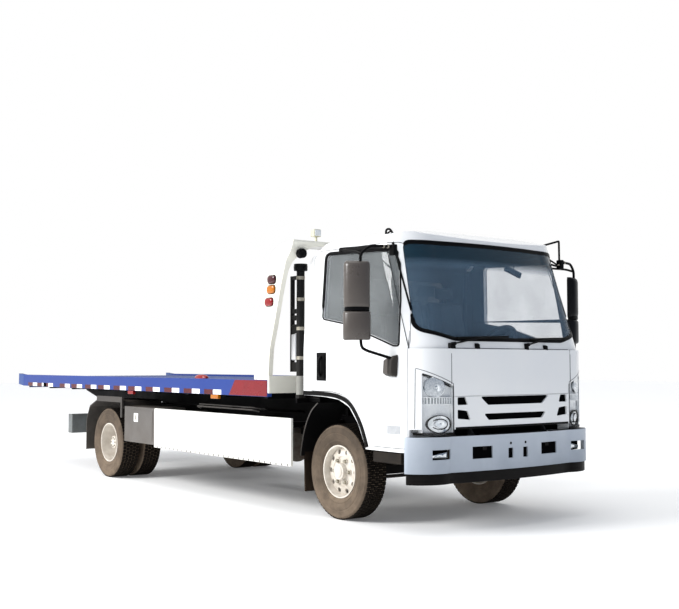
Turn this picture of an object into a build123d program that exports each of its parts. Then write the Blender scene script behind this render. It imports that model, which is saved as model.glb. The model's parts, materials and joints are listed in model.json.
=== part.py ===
from build123d import *
import math
import os

# Flatbed tow truck: cab-over chassis, tilting and sliding bed, headboard arch, side guards.
# Row frame: X forward, Y to the vehicle's left, Z up, origin on the floor under the middle.
# All sizes are millimetres. Places along the vehicle are measured from the front axle.

os.makedirs("parts", exist_ok=True)

# ---------------------------------------------------------------- driving dimensions
OVERALL_LENGTH = 8150
FRONT_OVERHANG = 1190
WHEELBASE = 4175

SEAT_GAP = 0.3            # between pieces of one body that rest on each other
MOVE_GAP = 6.0            # between bodies that move past each other
PIN_GAP = 0.3             # radial room round a hinge pin

TYRE_RADIUS = 398.5
TYRE_WIDTH = 235
RIM_RADIUS = 222
FRONT_TYRE_FACE_Y = 928
REAR_TYRE_FACE_Y = 1100
TWIN_SPACING = 270

RAIL_OUTER_Y = 400
RAIL_TOP = 830
RAIL_DEPTH = 200
RAIL_FLANGE = 65
RAIL_WEB = 8
REAR_OVERHANG = 1525      # rails behind the rear axle
CHASSIS_TAIL = WHEELBASE + REAR_OVERHANG

CAB_HALF_WIDTH = 1000
CAB_REAR = 381
CAB_BACK_BOTTOM = 1033
CAB_SILL = 622
CAB_WALL = 40
CAB_WAIST = 1420          # where the screen starts to lean back
CAB_SKIN = 30             # thickness of the bonnet skin and grille

BED_HALF_WIDTH = 1150
BED_FRONT = 727
BED_BOTTOM = 1010
BED_TOP = 1160
BED_TAIL = OVERALL_LENGTH - FRONT_OVERHANG
SIDE_RAIL_WIDTH = 50
FLOOR_TOP = 1135
FLOOR_PLATE = 10

TILT_PIVOT_INSET = 50     # tilt pin ahead of the rails' rear end
TILT_PIVOT_BACK = CHASSIS_TAIL - TILT_PIVOT_INSET
TILT_PIVOT_Z = 790
TILT_RAIL_OUTER_Y = 450
TILT_RAIL_INNER_Y = 350
TILT_RAIL_BOTTOM = 855

CAB_HINGE_AHEAD = 1120    # cab tilt pin ahead of the front axle
CAB_HINGE_Z = 700

# ---------------------------------------------------------------- derived places
FRONT_X = OVERALL_LENGTH / 2 - FRONT_OVERHANG   # front axle in the row frame
REAR_AXLE = -WHEELBASE
AXLE_Z = TYRE_RADIUS
FRONT_WHEEL_Y = FRONT_TYRE_FACE_Y - TYRE_WIDTH / 2
REAR_OUTER_Y = REAR_TYRE_FACE_Y - TYRE_WIDTH / 2
REAR_INNER_Y = REAR_OUTER_Y - TWIN_SPACING


# ---------------------------------------------------------------- drawing functions
def box(x0, x1, y0, y1, z0, z1):
    """A block between two corners, x measured from the front axle."""
    middle = Pos((x0 + x1) / 2, (y0 + y1) / 2, (z0 + z1) / 2)
    return middle * Box(abs(x1 - x0), abs(y1 - y0), abs(z1 - z0))


def side_face(points, radii=0):
    """A face in the X-Z plane at y = 0 from (x, z) corners, x from the front axle."""
    return Plane.XZ * make_face(FilletPolyline(*points, radius=radii, close=True))


def along_y(face, y0, y1):
    return Pos(0, y0, 0) * extrude(face, amount=y1 - y0, dir=(0, 1, 0))


def side_prism(points, y0, y1, radii=0):
    return along_y(side_face(points, radii), y0, y1)


def front_prism(points, x0, x1, radii=0):
    """(y, z) corners extruded along X from x0 to x1, x from the front axle."""
    face = Plane.YZ * make_face(FilletPolyline(*points, radius=radii, close=True))
    return Pos(x0, 0, 0) * extrude(face, amount=x1 - x0, dir=(1, 0, 0))


def plan_prism(points, z0, z1, radii=0):
    """(x, y) corners extruded upwards from z0 to z1, x from the front axle."""
    face = make_face(FilletPolyline(*points, radius=radii, close=True))
    return Pos(0, 0, z0) * extrude(face, amount=z1 - z0, dir=(0, 0, 1))


def bar(start, end, radius):
    """A round bar between two points, x from the front axle."""
    run = Vector(*end) - Vector(*start)
    plane = Plane(origin=start, z_dir=run)
    return plane * Cylinder(radius, run.length, align=(Align.CENTER, Align.CENTER, Align.MIN))


def across(x, z, radius, y0, y1):
    """A round bar along Y."""
    return bar((x, min(y0, y1), z), (x, max(y0, y1), z), radius)


def other_side(piece):
    return mirror(piece, about=Plane.XZ)


def pair(piece):
    return [piece, other_side(piece)]


def save(node, *pieces):
    """Writes one node; its solids stay separate where they don't touch."""
    solids = []
    for piece in pieces:
        solids += [Pos(FRONT_X, 0, 0) * solid for solid in piece.solids()]
    shape = solids[0] if len(solids) == 1 else Compound(children=solids)
    shape.label = node
    export_step(shape, os.path.join("parts", node + ".step"))


def wheel_profile(points, wheel_x, wheel_y, wheel_z):
    """Revolves (radius, y) corners about a wheel's axis; y is outwards from the centre."""
    corners = [(radius, y) for radius, y in points]
    face = make_face(Polyline(*corners, close=True))
    turned = revolve(face, axis=Axis.Y, revolution_arc=360)
    return Pos(wheel_x, wheel_y, wheel_z) * turned


# ---------------------------------------------------------------- chassis frame
# Two C rails open inwards, cross members, front brackets for the cab pins and rear bosses
# for the tilt pins.
RAIL_BOTTOM = RAIL_TOP - RAIL_DEPTH
RAIL_FRONT = 1090
RAIL_NOSE = 930           # ahead of this the rails are lower, under the cab's front
RAIL_NOSE_TOP = 750
CROSS_WIDTH = 80
CROSS_BOTTOM = 665
CROSS_TOP = 785
CROSS_PLACES = [840, -1250, -2450, -WHEELBASE + 685, -CHASSIS_TAIL + 140]
TILT_PIN_RADIUS = 22
TILT_BOSS_RADIUS = 45
TILT_LUG_INNER_Y = 425
TILT_LUG_OUTER_Y = 450
CAB_PIN_RADIUS = 16
CAB_LUG_INNER_Y = 408
CAB_LUG_OUTER_Y = 432
REST_PAD_BACK = 1150      # rubber-faced rest under the front of the tilt frame

rail_section = [
    (RAIL_OUTER_Y, RAIL_BOTTOM), (RAIL_OUTER_Y, RAIL_TOP),
    (RAIL_OUTER_Y - RAIL_FLANGE, RAIL_TOP), (RAIL_OUTER_Y - RAIL_FLANGE, RAIL_TOP - RAIL_WEB),
    (RAIL_OUTER_Y - RAIL_WEB, RAIL_TOP - RAIL_WEB),
    (RAIL_OUTER_Y - RAIL_WEB, RAIL_BOTTOM + RAIL_WEB),
    (RAIL_OUTER_Y - RAIL_FLANGE, RAIL_BOTTOM + RAIL_WEB),
    (RAIL_OUTER_Y - RAIL_FLANGE, RAIL_BOTTOM),
]
half_frame = front_prism(rail_section, -CHASSIS_TAIL, RAIL_FRONT)
half_frame += box(RAIL_FRONT - 60, CAB_HINGE_AHEAD + 20, RAIL_OUTER_Y - 2 * RAIL_WEB, RAIL_OUTER_Y,
                  CAB_HINGE_Z - 45, CAB_HINGE_Z + 45)
half_frame += across(CAB_HINGE_AHEAD, CAB_HINGE_Z, CAB_PIN_RADIUS, RAIL_OUTER_Y, CAB_LUG_OUTER_Y + 8)
half_frame += across(-TILT_PIVOT_BACK, TILT_PIVOT_Z, TILT_BOSS_RADIUS - 8, RAIL_OUTER_Y - 1,
                     TILT_LUG_INNER_Y - 2)
half_frame += across(-TILT_PIVOT_BACK, TILT_PIVOT_Z, TILT_PIN_RADIUS, RAIL_OUTER_Y - 1,
                     TILT_LUG_OUTER_Y + 8)
half_frame += box(-REST_PAD_BACK - 60, -REST_PAD_BACK + 60, RAIL_OUTER_Y - RAIL_FLANGE + 20,
                  RAIL_OUTER_Y, RAIL_TOP, TILT_RAIL_BOTTOM - SEAT_GAP)
half_frame -= box(RAIL_NOSE, CAB_HINGE_AHEAD + 60, 0, RAIL_OUTER_Y + 1, RAIL_NOSE_TOP, RAIL_TOP + 1)
chassis = half_frame + other_side(half_frame)
for place in CROSS_PLACES:
    chassis += box(place - CROSS_WIDTH / 2, place + CROSS_WIDTH / 2, -RAIL_OUTER_Y + RAIL_WEB / 2,
                   RAIL_OUTER_Y - RAIL_WEB / 2, CROSS_BOTTOM, CROSS_TOP)

# ---------------------------------------------------------------- engine and driveline
ENGINE_REAR = -520
ENGINE_FRONT = 760
ENGINE_HALF_WIDTH = 280
ENGINE_BOTTOM = 520
ENGINE_TOP = 940
GEARBOX_REAR = -1120
GEARBOX_HALF_WIDTH = 170
MOUNT_X = 300
engine = box(ENGINE_REAR, ENGINE_FRONT, -ENGINE_HALF_WIDTH, ENGINE_HALF_WIDTH, ENGINE_BOTTOM,
             ENGINE_TOP)
engine += box(GEARBOX_REAR, ENGINE_REAR + 1, -GEARBOX_HALF_WIDTH, GEARBOX_HALF_WIDTH,
              ENGINE_BOTTOM + 20, RAIL_TOP - 50)
engine += box(MOUNT_X - 60, MOUNT_X + 60, -RAIL_OUTER_Y + RAIL_WEB + SEAT_GAP,
              RAIL_OUTER_Y - RAIL_WEB - SEAT_GAP, 690, 750)

SHAFT_RADIUS = 42
AXLE_NOSE = 330           # pinion flange ahead of the rear axle
SHAFT_FRONT_Z = 600
SHAFT_REAR_Z = AXLE_Z + 10
FLANGE = 30
shaft_front = GEARBOX_REAR - SEAT_GAP
shaft_rear = -WHEELBASE + AXLE_NOSE + SEAT_GAP
shaft = bar((shaft_front - FLANGE, 0, SHAFT_FRONT_Z), (shaft_rear + FLANGE, 0, SHAFT_REAR_Z), SHAFT_RADIUS)
shaft += bar((shaft_front, 0, SHAFT_FRONT_Z), (shaft_front - 2 * FLANGE, 0, SHAFT_FRONT_Z), 60)
shaft += bar((shaft_rear, 0, SHAFT_REAR_Z), (shaft_rear + 2 * FLANGE, 0, SHAFT_REAR_Z), 60)
save("drive_shaft", shaft)
save("engine_block", engine)

# ---------------------------------------------------------------- axles
KINGPIN_Y = 720
KINGPIN_RADIUS = 18
BOSS_RADIUS = 34
BOSS_BOTTOM = AXLE_Z - 62
BOSS_TOP = AXLE_Z + 62
BEAM_TOP = AXLE_Z + 30
BEAM_BOTTOM = AXLE_Z - 50
SPRING_Y = 367
front_beam = box(-45, 45, -KINGPIN_Y + 15, KINGPIN_Y - 15, BEAM_BOTTOM, BEAM_TOP)
for side in (1, -1):
    front_beam += bar((0, side * KINGPIN_Y, BOSS_BOTTOM), (0, side * KINGPIN_Y, BOSS_TOP), BOSS_RADIUS)
for side in (1, -1):
    front_beam -= bar((0, side * KINGPIN_Y, BOSS_BOTTOM - 5), (0, side * KINGPIN_Y, BOSS_TOP + 5),
                      KINGPIN_RADIUS + PIN_GAP)
save("front_axle", front_beam)

AXLE_TUBE_RADIUS = 58
HUB_SPINDLE_RADIUS = 45
REAR_SPINDLE_START = 560
REAR_SPINDLE_END = REAR_OUTER_Y - 25
BANJO_RADIUS = 175
rear_axle = across(-WHEELBASE, AXLE_Z, AXLE_TUBE_RADIUS, -REAR_SPINDLE_START, REAR_SPINDLE_START)
rear_axle += across(-WHEELBASE, AXLE_Z, HUB_SPINDLE_RADIUS, -REAR_SPINDLE_END, REAR_SPINDLE_END)
rear_axle += bar((-WHEELBASE - 110, 0, AXLE_Z), (-WHEELBASE + 120, 0, AXLE_Z), BANJO_RADIUS)
rear_axle += bar((-WHEELBASE, 0, AXLE_Z + 10), (-WHEELBASE + AXLE_NOSE, 0, AXLE_Z + 10), 70)
save("rear_axle", rear_axle)

# ---------------------------------------------------------------- leaf springs
# (axle x, y of the pack, half length, pack top at the axle, eye height)
LEAF_WIDTH = 70
LEAF_PACK = 60
EYE_RADIUS = 26
spring_rows = [
    (0, SPRING_Y, 560, BEAM_TOP + LEAF_PACK + SEAT_GAP, 565),
    (-WHEELBASE, 462, 680, AXLE_Z + AXLE_TUBE_RADIUS + LEAF_PACK + SEAT_GAP, 575),
]
springs = []
for axle, y, half, top, eye in spring_rows:
    pack = [(axle - half, eye - 12), (axle - half, eye + 12), (axle - 90, top), (axle + 90, top),
            (axle + half, eye + 12), (axle + half, eye - 12), (axle + 90, top - LEAF_PACK),
            (axle - 90, top - LEAF_PACK)]
    spring = side_prism(pack, y - LEAF_WIDTH / 2, y + LEAF_WIDTH / 2)
    for end in (-half, half):
        spring += across(axle + end, eye, EYE_RADIUS, y - LEAF_WIDTH / 2, y + LEAF_WIDTH / 2)
        if y < RAIL_OUTER_Y:
            spring += box(axle + end - 18, axle + end + 18, y - LEAF_WIDTH / 2 + 5,
                          RAIL_OUTER_Y - 5, eye, RAIL_BOTTOM - SEAT_GAP)
        else:
            spring += box(axle + end - 18, axle + end + 18, RAIL_OUTER_Y + SEAT_GAP,
                          y + LEAF_WIDTH / 2 - 5, eye, RAIL_BOTTOM + 90)
    springs += pair(spring)
save("leaf_springs", *springs)

# ---------------------------------------------------------------- steering knuckles and tie rod
FORK_PLATE = 24
FORK_GAP = 1.0
SPINDLE_RADIUS = 30
FRONT_SPINDLE_END = FRONT_WHEEL_Y + 40
TIE_ROD_BACK = 165
TIE_ROD_Z = 300
TIE_ROD_RADIUS = 16
ARM_Y = KINGPIN_Y - 80


def knuckle():
    """The left knuckle: a fork round the axle's boss, its king pin, spindle and rear arm."""
    y0 = KINGPIN_Y - BOSS_RADIUS
    y1 = KINGPIN_Y + BOSS_RADIUS + 6
    top = box(-40, 40, y0, y1 + 20, BOSS_TOP + FORK_GAP, BOSS_TOP + FORK_GAP + FORK_PLATE)
    low = box(-40, 40, y0, y1 + 20, BOSS_BOTTOM - FORK_GAP - FORK_PLATE, BOSS_BOTTOM - FORK_GAP)
    web = box(-40, 40, y1, y1 + 20, BOSS_BOTTOM - FORK_GAP - FORK_PLATE, BOSS_TOP + FORK_GAP + FORK_PLATE)
    pin = bar((0, KINGPIN_Y, BOSS_BOTTOM - FORK_GAP - 5), (0, KINGPIN_Y, BOSS_TOP + FORK_GAP + 5),
              KINGPIN_RADIUS)
    spindle = across(0, AXLE_Z, SPINDLE_RADIUS, y1 + 10, FRONT_SPINDLE_END)
    arm = plan_prism([(-30, KINGPIN_Y - 25), (-30, KINGPIN_Y + 20), (-TIE_ROD_BACK - 25, ARM_Y + 22),
                      (-TIE_ROD_BACK - 25, ARM_Y - 22)], TIE_ROD_Z + TIE_ROD_RADIUS + 2 * SEAT_GAP,
                     BOSS_BOTTOM - FORK_GAP)
    return top + low + web + pin + spindle + arm


left_knuckle = knuckle()
save("knuckle_left", left_knuckle)
save("knuckle_right", other_side(left_knuckle))
tie_rod = across(-TIE_ROD_BACK, TIE_ROD_Z, TIE_ROD_RADIUS, -ARM_Y - 20, ARM_Y + 20)
save("tie_rod", tie_rod)

# ---------------------------------------------------------------- front wheels
RIM_HALF = 88
HAND_HOLES = 10
HAND_HOLE_RADIUS = 21
HAND_HOLE_CIRCLE = 168
# tyre corners as (radius, y)
tyre_section = [
    (RIM_RADIUS, -RIM_HALF), (RIM_RADIUS + 18, -RIM_HALF - 8), (300, -TYRE_WIDTH / 2),
    (355, -TYRE_WIDTH / 2 + 6), (TYRE_RADIUS - 14, -TYRE_WIDTH / 2 + 16), (TYRE_RADIUS, -80),
    (TYRE_RADIUS, 80), (TYRE_RADIUS - 14, TYRE_WIDTH / 2 - 16), (355, TYRE_WIDTH / 2 - 6),
    (300, TYRE_WIDTH / 2), (RIM_RADIUS + 18, RIM_HALF + 8), (RIM_RADIUS, RIM_HALF),
]
# front rim corners as (radius, y), hub bore first
BARREL = 8
front_rim_section = [
    (SPINDLE_RADIUS + PIN_GAP, -28), (SPINDLE_RADIUS + PIN_GAP, FRONT_SPINDLE_END - FRONT_WHEEL_Y + 1),
    (0, FRONT_SPINDLE_END - FRONT_WHEEL_Y + 1), (0, 100), (62, 100), (70, 62), (118, 50),
    (128, 58), (186, 46), (RIM_RADIUS - 24, 34), (RIM_RADIUS - 12, RIM_HALF + 6),
    (RIM_RADIUS - SEAT_GAP, RIM_HALF + 6), (RIM_RADIUS - SEAT_GAP, -RIM_HALF),
    (RIM_RADIUS - BARREL - 4, -RIM_HALF), (RIM_RADIUS - BARREL - 14, 20), (180, 32), (124, 40),
    (124, 14), (92, 14), (92, -28),
]


def facing(piece_at_left, left):
    return piece_at_left if left else other_side(piece_at_left)


left_front_rim = wheel_profile(front_rim_section, 0, FRONT_WHEEL_Y, AXLE_Z)
for hole in range(HAND_HOLES):
    turn = 2 * math.pi * hole / HAND_HOLES
    hole_x = HAND_HOLE_CIRCLE * math.cos(turn)
    hole_z = AXLE_Z + HAND_HOLE_CIRCLE * math.sin(turn)
    left_front_rim -= across(hole_x, hole_z, HAND_HOLE_RADIUS, FRONT_WHEEL_Y - 10, FRONT_WHEEL_Y + 90)
left_front_tyre = wheel_profile(tyre_section, 0, FRONT_WHEEL_Y, AXLE_Z)
for side_name, left in (("left", True), ("right", False)):
    save("front_rim_" + side_name, facing(left_front_rim, left))
    save("front_tyre_" + side_name, facing(left_front_tyre, left))

# ---------------------------------------------------------------- rear twin wheels
# outer rim corners as (radius, y) about the outer wheel's centre; the inner rim is its mirror
DISC_BACK = -TWIN_SPACING / 2 + SEAT_GAP
outer_rim_section = [
    (92, DISC_BACK), (92, DISC_BACK + 12), (165, DISC_BACK + 12), (196, -60),
    (RIM_RADIUS - 26, -30), (RIM_RADIUS - 12, RIM_HALF + 6), (RIM_RADIUS - SEAT_GAP, RIM_HALF + 6),
    (RIM_RADIUS - SEAT_GAP, -RIM_HALF), (RIM_RADIUS - 10, -RIM_HALF), (176, DISC_BACK),
]
inner_rim_section = [(radius, -y) for radius, y in outer_rim_section]
hub_section = [
    (HUB_SPINDLE_RADIUS + PIN_GAP, -330), (HUB_SPINDLE_RADIUS + PIN_GAP, -24), (0, -24), (0, 40),
    (70, 40), (78, -60), (91.7, DISC_BACK - 20), (91.7, -330),
]
outer_rim = wheel_profile(outer_rim_section, REAR_AXLE, REAR_OUTER_Y, AXLE_Z)
inner_rim = wheel_profile(inner_rim_section, REAR_AXLE, REAR_INNER_Y, AXLE_Z)
rear_hub = wheel_profile(hub_section, REAR_AXLE, REAR_OUTER_Y, AXLE_Z)
rear_hub += wheel_profile([(80, -150), (80, -105), (110, -105), (110, -150)], REAR_AXLE, REAR_OUTER_Y, AXLE_Z)
left_rear_rim = outer_rim + inner_rim + rear_hub
left_rear_tyres = [
    wheel_profile(tyre_section, REAR_AXLE, REAR_OUTER_Y, AXLE_Z),
    wheel_profile(tyre_section, REAR_AXLE, REAR_INNER_Y, AXLE_Z),
]
for side_name, left in (("left", True), ("right", False)):
    save("rear_rims_" + side_name, facing(left_rear_rim, left))
    save("rear_tyres_" + side_name, *[facing(tyre, left) for tyre in left_rear_tyres])

# ---------------------------------------------------------------- cab body outline
# Plan outline at three heights: (half width, x where the corner starts, corner mid point,
# where the front curve starts, centre of the front), x from the front axle.
CAB_LEVELS = {
    "low": (CAB_HALF_WIDTH, 850, (1047, 925), (1151, 690), 1172),
    "waist": (CAB_HALF_WIDTH, 820, (1020, 925), (1128, 700), 1155),
    "top": (950, 560, (735, 855), (838, 600), 895),
}
CAB_TOP_LEVEL = 2420
FRONT_BOX_BOTTOM = 800
FOOTWELL_FRONT = 975
FOOTWELL_REAR = 482
TUNNEL_HALF_WIDTH = 480
TUNNEL_TOP = 1000
TUNNEL_FRONT = 985
# side outline (x, z, corner radius), from the back's foot, over the roof, to the wheel arch
CAB_SIDE = [
    (-CAB_REAR, CAB_BACK_BOTTOM, 5), (-CAB_REAR, 1900, 150), (-330, 2210, 90), (-120, 2365, 200),
    (250, 2402, 60), (700, 2398, 250), (965, 2300, 40), (1300, 2250, 0), (1300, FRONT_BOX_BOTTOM, 0),
    (FOOTWELL_FRONT, FRONT_BOX_BOTTOM, 0), (FOOTWELL_FRONT - 2, CAB_SILL, 12), (FOOTWELL_REAR, CAB_SILL, 12),
    (455, 675, 60), (385, 815, 90), (265, 950, 90), (125, 1006, 90), (-60, 1024, 60),
]
# front outline (y, z, corner radius)
CAB_FRONT = [
    (-1020, 500, 0), (1020, 500, 0), (1020, 1600, 0), (968, 2200, 60), (915, 2345, 60), (450, 2395, 200),
    (-450, 2395, 200), (-915, 2345, 60), (-968, 2200, 60), (-1020, 1600, 0),
]


def plan_face(level, inset, z, rear=-CAB_REAR):
    """A plan outline: straight sides, round front corners and a bowed front."""
    half, side_x, corner, front, centre = CAB_LEVELS[level]
    rear_x = rear + inset
    y = half - inset
    mid = (corner[0] - inset * 0.75, corner[1] - inset * 0.75)
    nose = (front[0] - inset, front[1] - inset * 0.3)
    edges = [
        Line((rear_x, -y), (rear_x, y)),
        Line((rear_x, y), (side_x, y)),
        ThreePointArc((side_x, y), mid, nose),
        ThreePointArc(nose, (centre - inset, 0), (nose[0], -nose[1])),
        ThreePointArc((nose[0], -nose[1]), (mid[0], -mid[1]), (side_x, -y)),
        Line((side_x, -y), (rear_x, -y)),
    ]
    return Pos(0, 0, z) * make_face(Wire(edges))


def cab_form(inset):
    """The cab's outer form, or with an inset the room inside its walls."""
    low = extrude(plan_face("low", inset, 550), amount=CAB_WAIST - 550, dir=(0, 0, 1))
    high = loft([plan_face("waist", inset, CAB_WAIST), plan_face("top", inset, CAB_TOP_LEVEL)], ruled=True)
    corners = [(x, z) for x, z, radius in CAB_SIDE]
    outline = side_face(corners, [radius for x, z, radius in CAB_SIDE])
    if inset:
        outline = offset(outline, -inset)
    form = (low + high) & along_y(outline, -1100, 1100)
    roof = make_face(FilletPolyline(*[(y, z) for y, z, radius in CAB_FRONT],
                                    radius=[radius for y, z, radius in CAB_FRONT], close=True))
    if inset:
        roof = offset(roof, -inset)
    form &= Pos(-700, 0, 0) * extrude(Plane.YZ * roof, amount=2200, dir=(1, 0, 0))
    form -= box(-CAB_REAR - 50, TUNNEL_FRONT + inset, -TUNNEL_HALF_WIDTH - inset, TUNNEL_HALF_WIDTH + inset,
                500, TUNNEL_TOP + inset)
    return form


cab_outer = cab_form(0)
cab_room = cab_form(CAB_WALL)
FLOOR_TOP_Z = 1075
floor_slab = box(-CAB_REAR + 5, 300, -CAB_HALF_WIDTH, CAB_HALF_WIDTH, TUNNEL_TOP + 5, FLOOR_TOP_Z) & cab_outer
cab_shell = cab_outer - cab_room + floor_slab

# ---------------------------------------------------------------- bonnet skin and grille
PANEL_HALF_WIDTH = 690
PANEL_BOTTOM = 1053
GRILLE_HALF_WIDTH = 655
GRILLE_TOP = 1050
SKIN_REAR = 1095
skin = cab_outer - cab_form(CAB_SKIN)
skin_room = cab_outer - cab_form(CAB_SKIN + SEAT_GAP)
front_panel = skin & box(SKIN_REAR, 1300, -PANEL_HALF_WIDTH, PANEL_HALF_WIDTH, PANEL_BOTTOM,
                         CAB_WAIST - SEAT_GAP)
grille = skin & box(SKIN_REAR, 1300, -GRILLE_HALF_WIDTH, GRILLE_HALF_WIDTH, FRONT_BOX_BOTTOM, GRILLE_TOP)
cab_shell -= skin_room & box(SKIN_REAR - SEAT_GAP, 1300, -PANEL_HALF_WIDTH - SEAT_GAP,
                             PANEL_HALF_WIDTH + SEAT_GAP, PANEL_BOTTOM, CAB_WAIST)
cab_shell -= skin_room & box(SKIN_REAR - SEAT_GAP, 1300, -GRILLE_HALF_WIDTH - SEAT_GAP,
                             GRILLE_HALF_WIDTH + SEAT_GAP, 700, PANEL_BOTTOM + 1)
# openings as (y, z) corners: upper slot, lower slot, two side slots on each side
grille_openings = [
    [(-400, 1046), (400, 1046), (315, 980), (-315, 980)],
    [(-362, 912), (362, 912), (310, 862), (-310, 862)],
]
for sign in (1, -1):
    grille_openings.append([(sign * 551, 1045), (sign * 634, 1045), (sign * 634, 985), (sign * 528, 985)])
    grille_openings.append([(sign * 530, 938), (sign * 634, 950), (sign * 634, 880), (sign * 500, 868)])
for opening in grille_openings:
    grille -= front_prism(opening, 900, 1300, 8)
save("grille", grille)

# ---------------------------------------------------------------- headlamps
LAMP_INNER_Y = 668
LAMP_OUTER_Y = 915
LAMP_BOTTOM = 760
LAMP_INNER_TOP = 1130
LAMP_OUTER_TOP = 1233
LAMP_BACK = 1000
lamp_corners = [(LAMP_INNER_Y, LAMP_BOTTOM), (LAMP_OUTER_Y, LAMP_BOTTOM), (LAMP_OUTER_Y, LAMP_OUTER_TOP),
                (LAMP_INNER_Y, LAMP_INNER_TOP)]
lamp_face = Plane.YZ * make_face(FilletPolyline(*lamp_corners, radius=6, close=True))
lamp_block = Pos(LAMP_BACK, 0, 0) * extrude(lamp_face, amount=300, dir=(1, 0, 0))
lamp_hole = Pos(LAMP_BACK - 1, 0, 0) * extrude(
    offset(lamp_face, SEAT_GAP), amount=300, dir=(1, 0, 0))
lamp_low = extrude(plan_face("low", 0, LAMP_BOTTOM), amount=LAMP_OUTER_TOP - LAMP_BOTTOM, dir=(0, 0, 1))
left_lamp = lamp_block & lamp_low
save("headlamps", *pair(left_lamp))
cab_shell -= lamp_hole
cab_shell -= other_side(lamp_hole)
front_panel -= lamp_hole
front_panel -= other_side(lamp_hole)
save("front_panel", front_panel)
# walls behind the lamps close the cab again
lamp_wall = (box(LAMP_BACK - 31, LAMP_BACK - 1, LAMP_INNER_Y - 35, CAB_HALF_WIDTH, FRONT_BOX_BOTTOM,
                 LAMP_OUTER_TOP + 30) & cab_outer)
cab_shell += lamp_wall
cab_shell += other_side(lamp_wall)

# ---------------------------------------------------------------- windscreen and rear window
GLASS = 7
SEAL = 4
# right half of the screen's outline as (y, z, corner radius): middle of the foot, corner, head
SCREEN_HALF = [(620, 1492, 250), (919, 1568, 80), (866, 2272, 60)]
screen_rows = SCREEN_HALF + [(-y, z, radius) for y, z, radius in reversed(SCREEN_HALF)]
screen_radii = [radius for y, z, radius in screen_rows]
screen_hole = front_prism([(y, z) for y, z, radius in screen_rows], 560, 1300, screen_radii)
cab_shell -= screen_hole
glass_sheet = cab_form(SEAL) - cab_form(SEAL + GLASS)
screen_face = make_face(FilletPolyline(*[(y, z) for y, z, radius in screen_rows], radius=screen_radii, close=True))
screen_cut = Pos(560, 0, 0) * extrude(Plane.YZ * offset(screen_face, -SEAT_GAP), amount=740, dir=(1, 0, 0))
windscreen = glass_sheet & screen_cut
save("windscreen", windscreen)
REAR_LIGHT_HALF = 620
REAR_LIGHT_BOTTOM = 1600
REAR_LIGHT_TOP = 2080
cab_shell -= front_prism([(-REAR_LIGHT_HALF, REAR_LIGHT_BOTTOM), (REAR_LIGHT_HALF, REAR_LIGHT_BOTTOM),
                          (REAR_LIGHT_HALF, REAR_LIGHT_TOP), (-REAR_LIGHT_HALF, REAR_LIGHT_TOP)],
                         -CAB_REAR - 20, -CAB_REAR + CAB_WALL + 30, 60)
light_half = REAR_LIGHT_HALF - SEAT_GAP
rear_window = cab_form(14) - cab_form(14 + GLASS)
rear_window &= front_prism([(-light_half, REAR_LIGHT_BOTTOM + SEAT_GAP), (light_half, REAR_LIGHT_BOTTOM + SEAT_GAP),
                            (light_half, REAR_LIGHT_TOP - SEAT_GAP), (-light_half, REAR_LIGHT_TOP - SEAT_GAP)],
                           -CAB_REAR - 20, -CAB_REAR + CAB_WALL + 30, 60)
save("rear_window", rear_window)

# ---------------------------------------------------------------- doors
DOOR_REAR = -270
DOOR_FRONT = 962
DOOR_GAP = 5
DOOR_INNER_Y = 860        # nothing of the doors lies nearer to the middle
# side outline (x, z, corner radius) from the rear foot over the top to the front foot
door_rows = [
    (DOOR_REAR, 1075, 20), (DOOR_REAR, 2272, 90), (795, 2262, 60), (889, 1950, 100),
    (DOOR_FRONT, 1484, 60), (DOOR_FRONT, 655, 12), (560, 655, 20), (505, 760, 80), (430, 880, 90),
    (320, 985, 90), (170, 1052, 90), (40, 1072, 60),
]
door_window_rows = [
    (-110, 1690, 25), (-92, 2228, 40), (738, 2196, 45), (790, 2090, 30), (840, 1800, 100), (872, 1450, 10),
    (828, 1450, 10), (205, 1640, 60),
]


def side_outline(rows):
    return side_face([(x, z) for x, z, radius in rows], [radius for x, z, radius in rows])


door_face = side_outline(door_rows)
door_zone = along_y(door_face, DOOR_INNER_Y, 1100)
door_hole = along_y(offset(door_face, DOOR_GAP), DOOR_INNER_Y - DOOR_GAP, 1100)
window_face = side_outline(door_window_rows)
left_door = (cab_shell & door_zone) - along_y(window_face, DOOR_INNER_Y, 1100)
left_door -= box(DOOR_REAR, DOOR_FRONT + 10, DOOR_INNER_Y - 5, CAB_HALF_WIDTH - CAB_WALL + 2, CAB_SILL,
                 CAB_SILL + CAB_WALL + 2)
pane_sheet = cab_form(12) - cab_form(12 + 6)
left_pane = pane_sheet & along_y(offset(window_face, -SEAT_GAP), DOOR_INNER_Y, 1100)
cab_shell -= door_hole
cab_shell -= other_side(door_hole)
for side_name, left in (("left", True), ("right", False)):
    save("door_" + side_name, facing(left_door, left))
    save("door_glass_" + side_name, facing(left_pane, left))

# ---------------------------------------------------------------- cab pins, under the front
LUG_WALL = 8
LUG_ROOT_BACK = 56        # front of the lug's root behind its pin
LUG_ROOT_LENGTH = 62
lug_edge = CAB_PIN_RADIUS + LUG_WALL
lug_root = CAB_HINGE_AHEAD - LUG_ROOT_BACK
cab_lug = side_prism([(CAB_HINGE_AHEAD - lug_edge, CAB_HINGE_Z - lug_edge),
                      (CAB_HINGE_AHEAD + lug_edge, CAB_HINGE_Z - lug_edge),
                      (CAB_HINGE_AHEAD + lug_edge, CAB_HINGE_Z + LUG_WALL / 2),
                      (lug_root, FRONT_BOX_BOTTOM + 10), (lug_root - LUG_ROOT_LENGTH, FRONT_BOX_BOTTOM + 10),
                      (lug_root - LUG_ROOT_LENGTH / 2, FRONT_BOX_BOTTOM - 30)],
                     CAB_LUG_INNER_Y, CAB_LUG_OUTER_Y, LUG_WALL)
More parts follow.
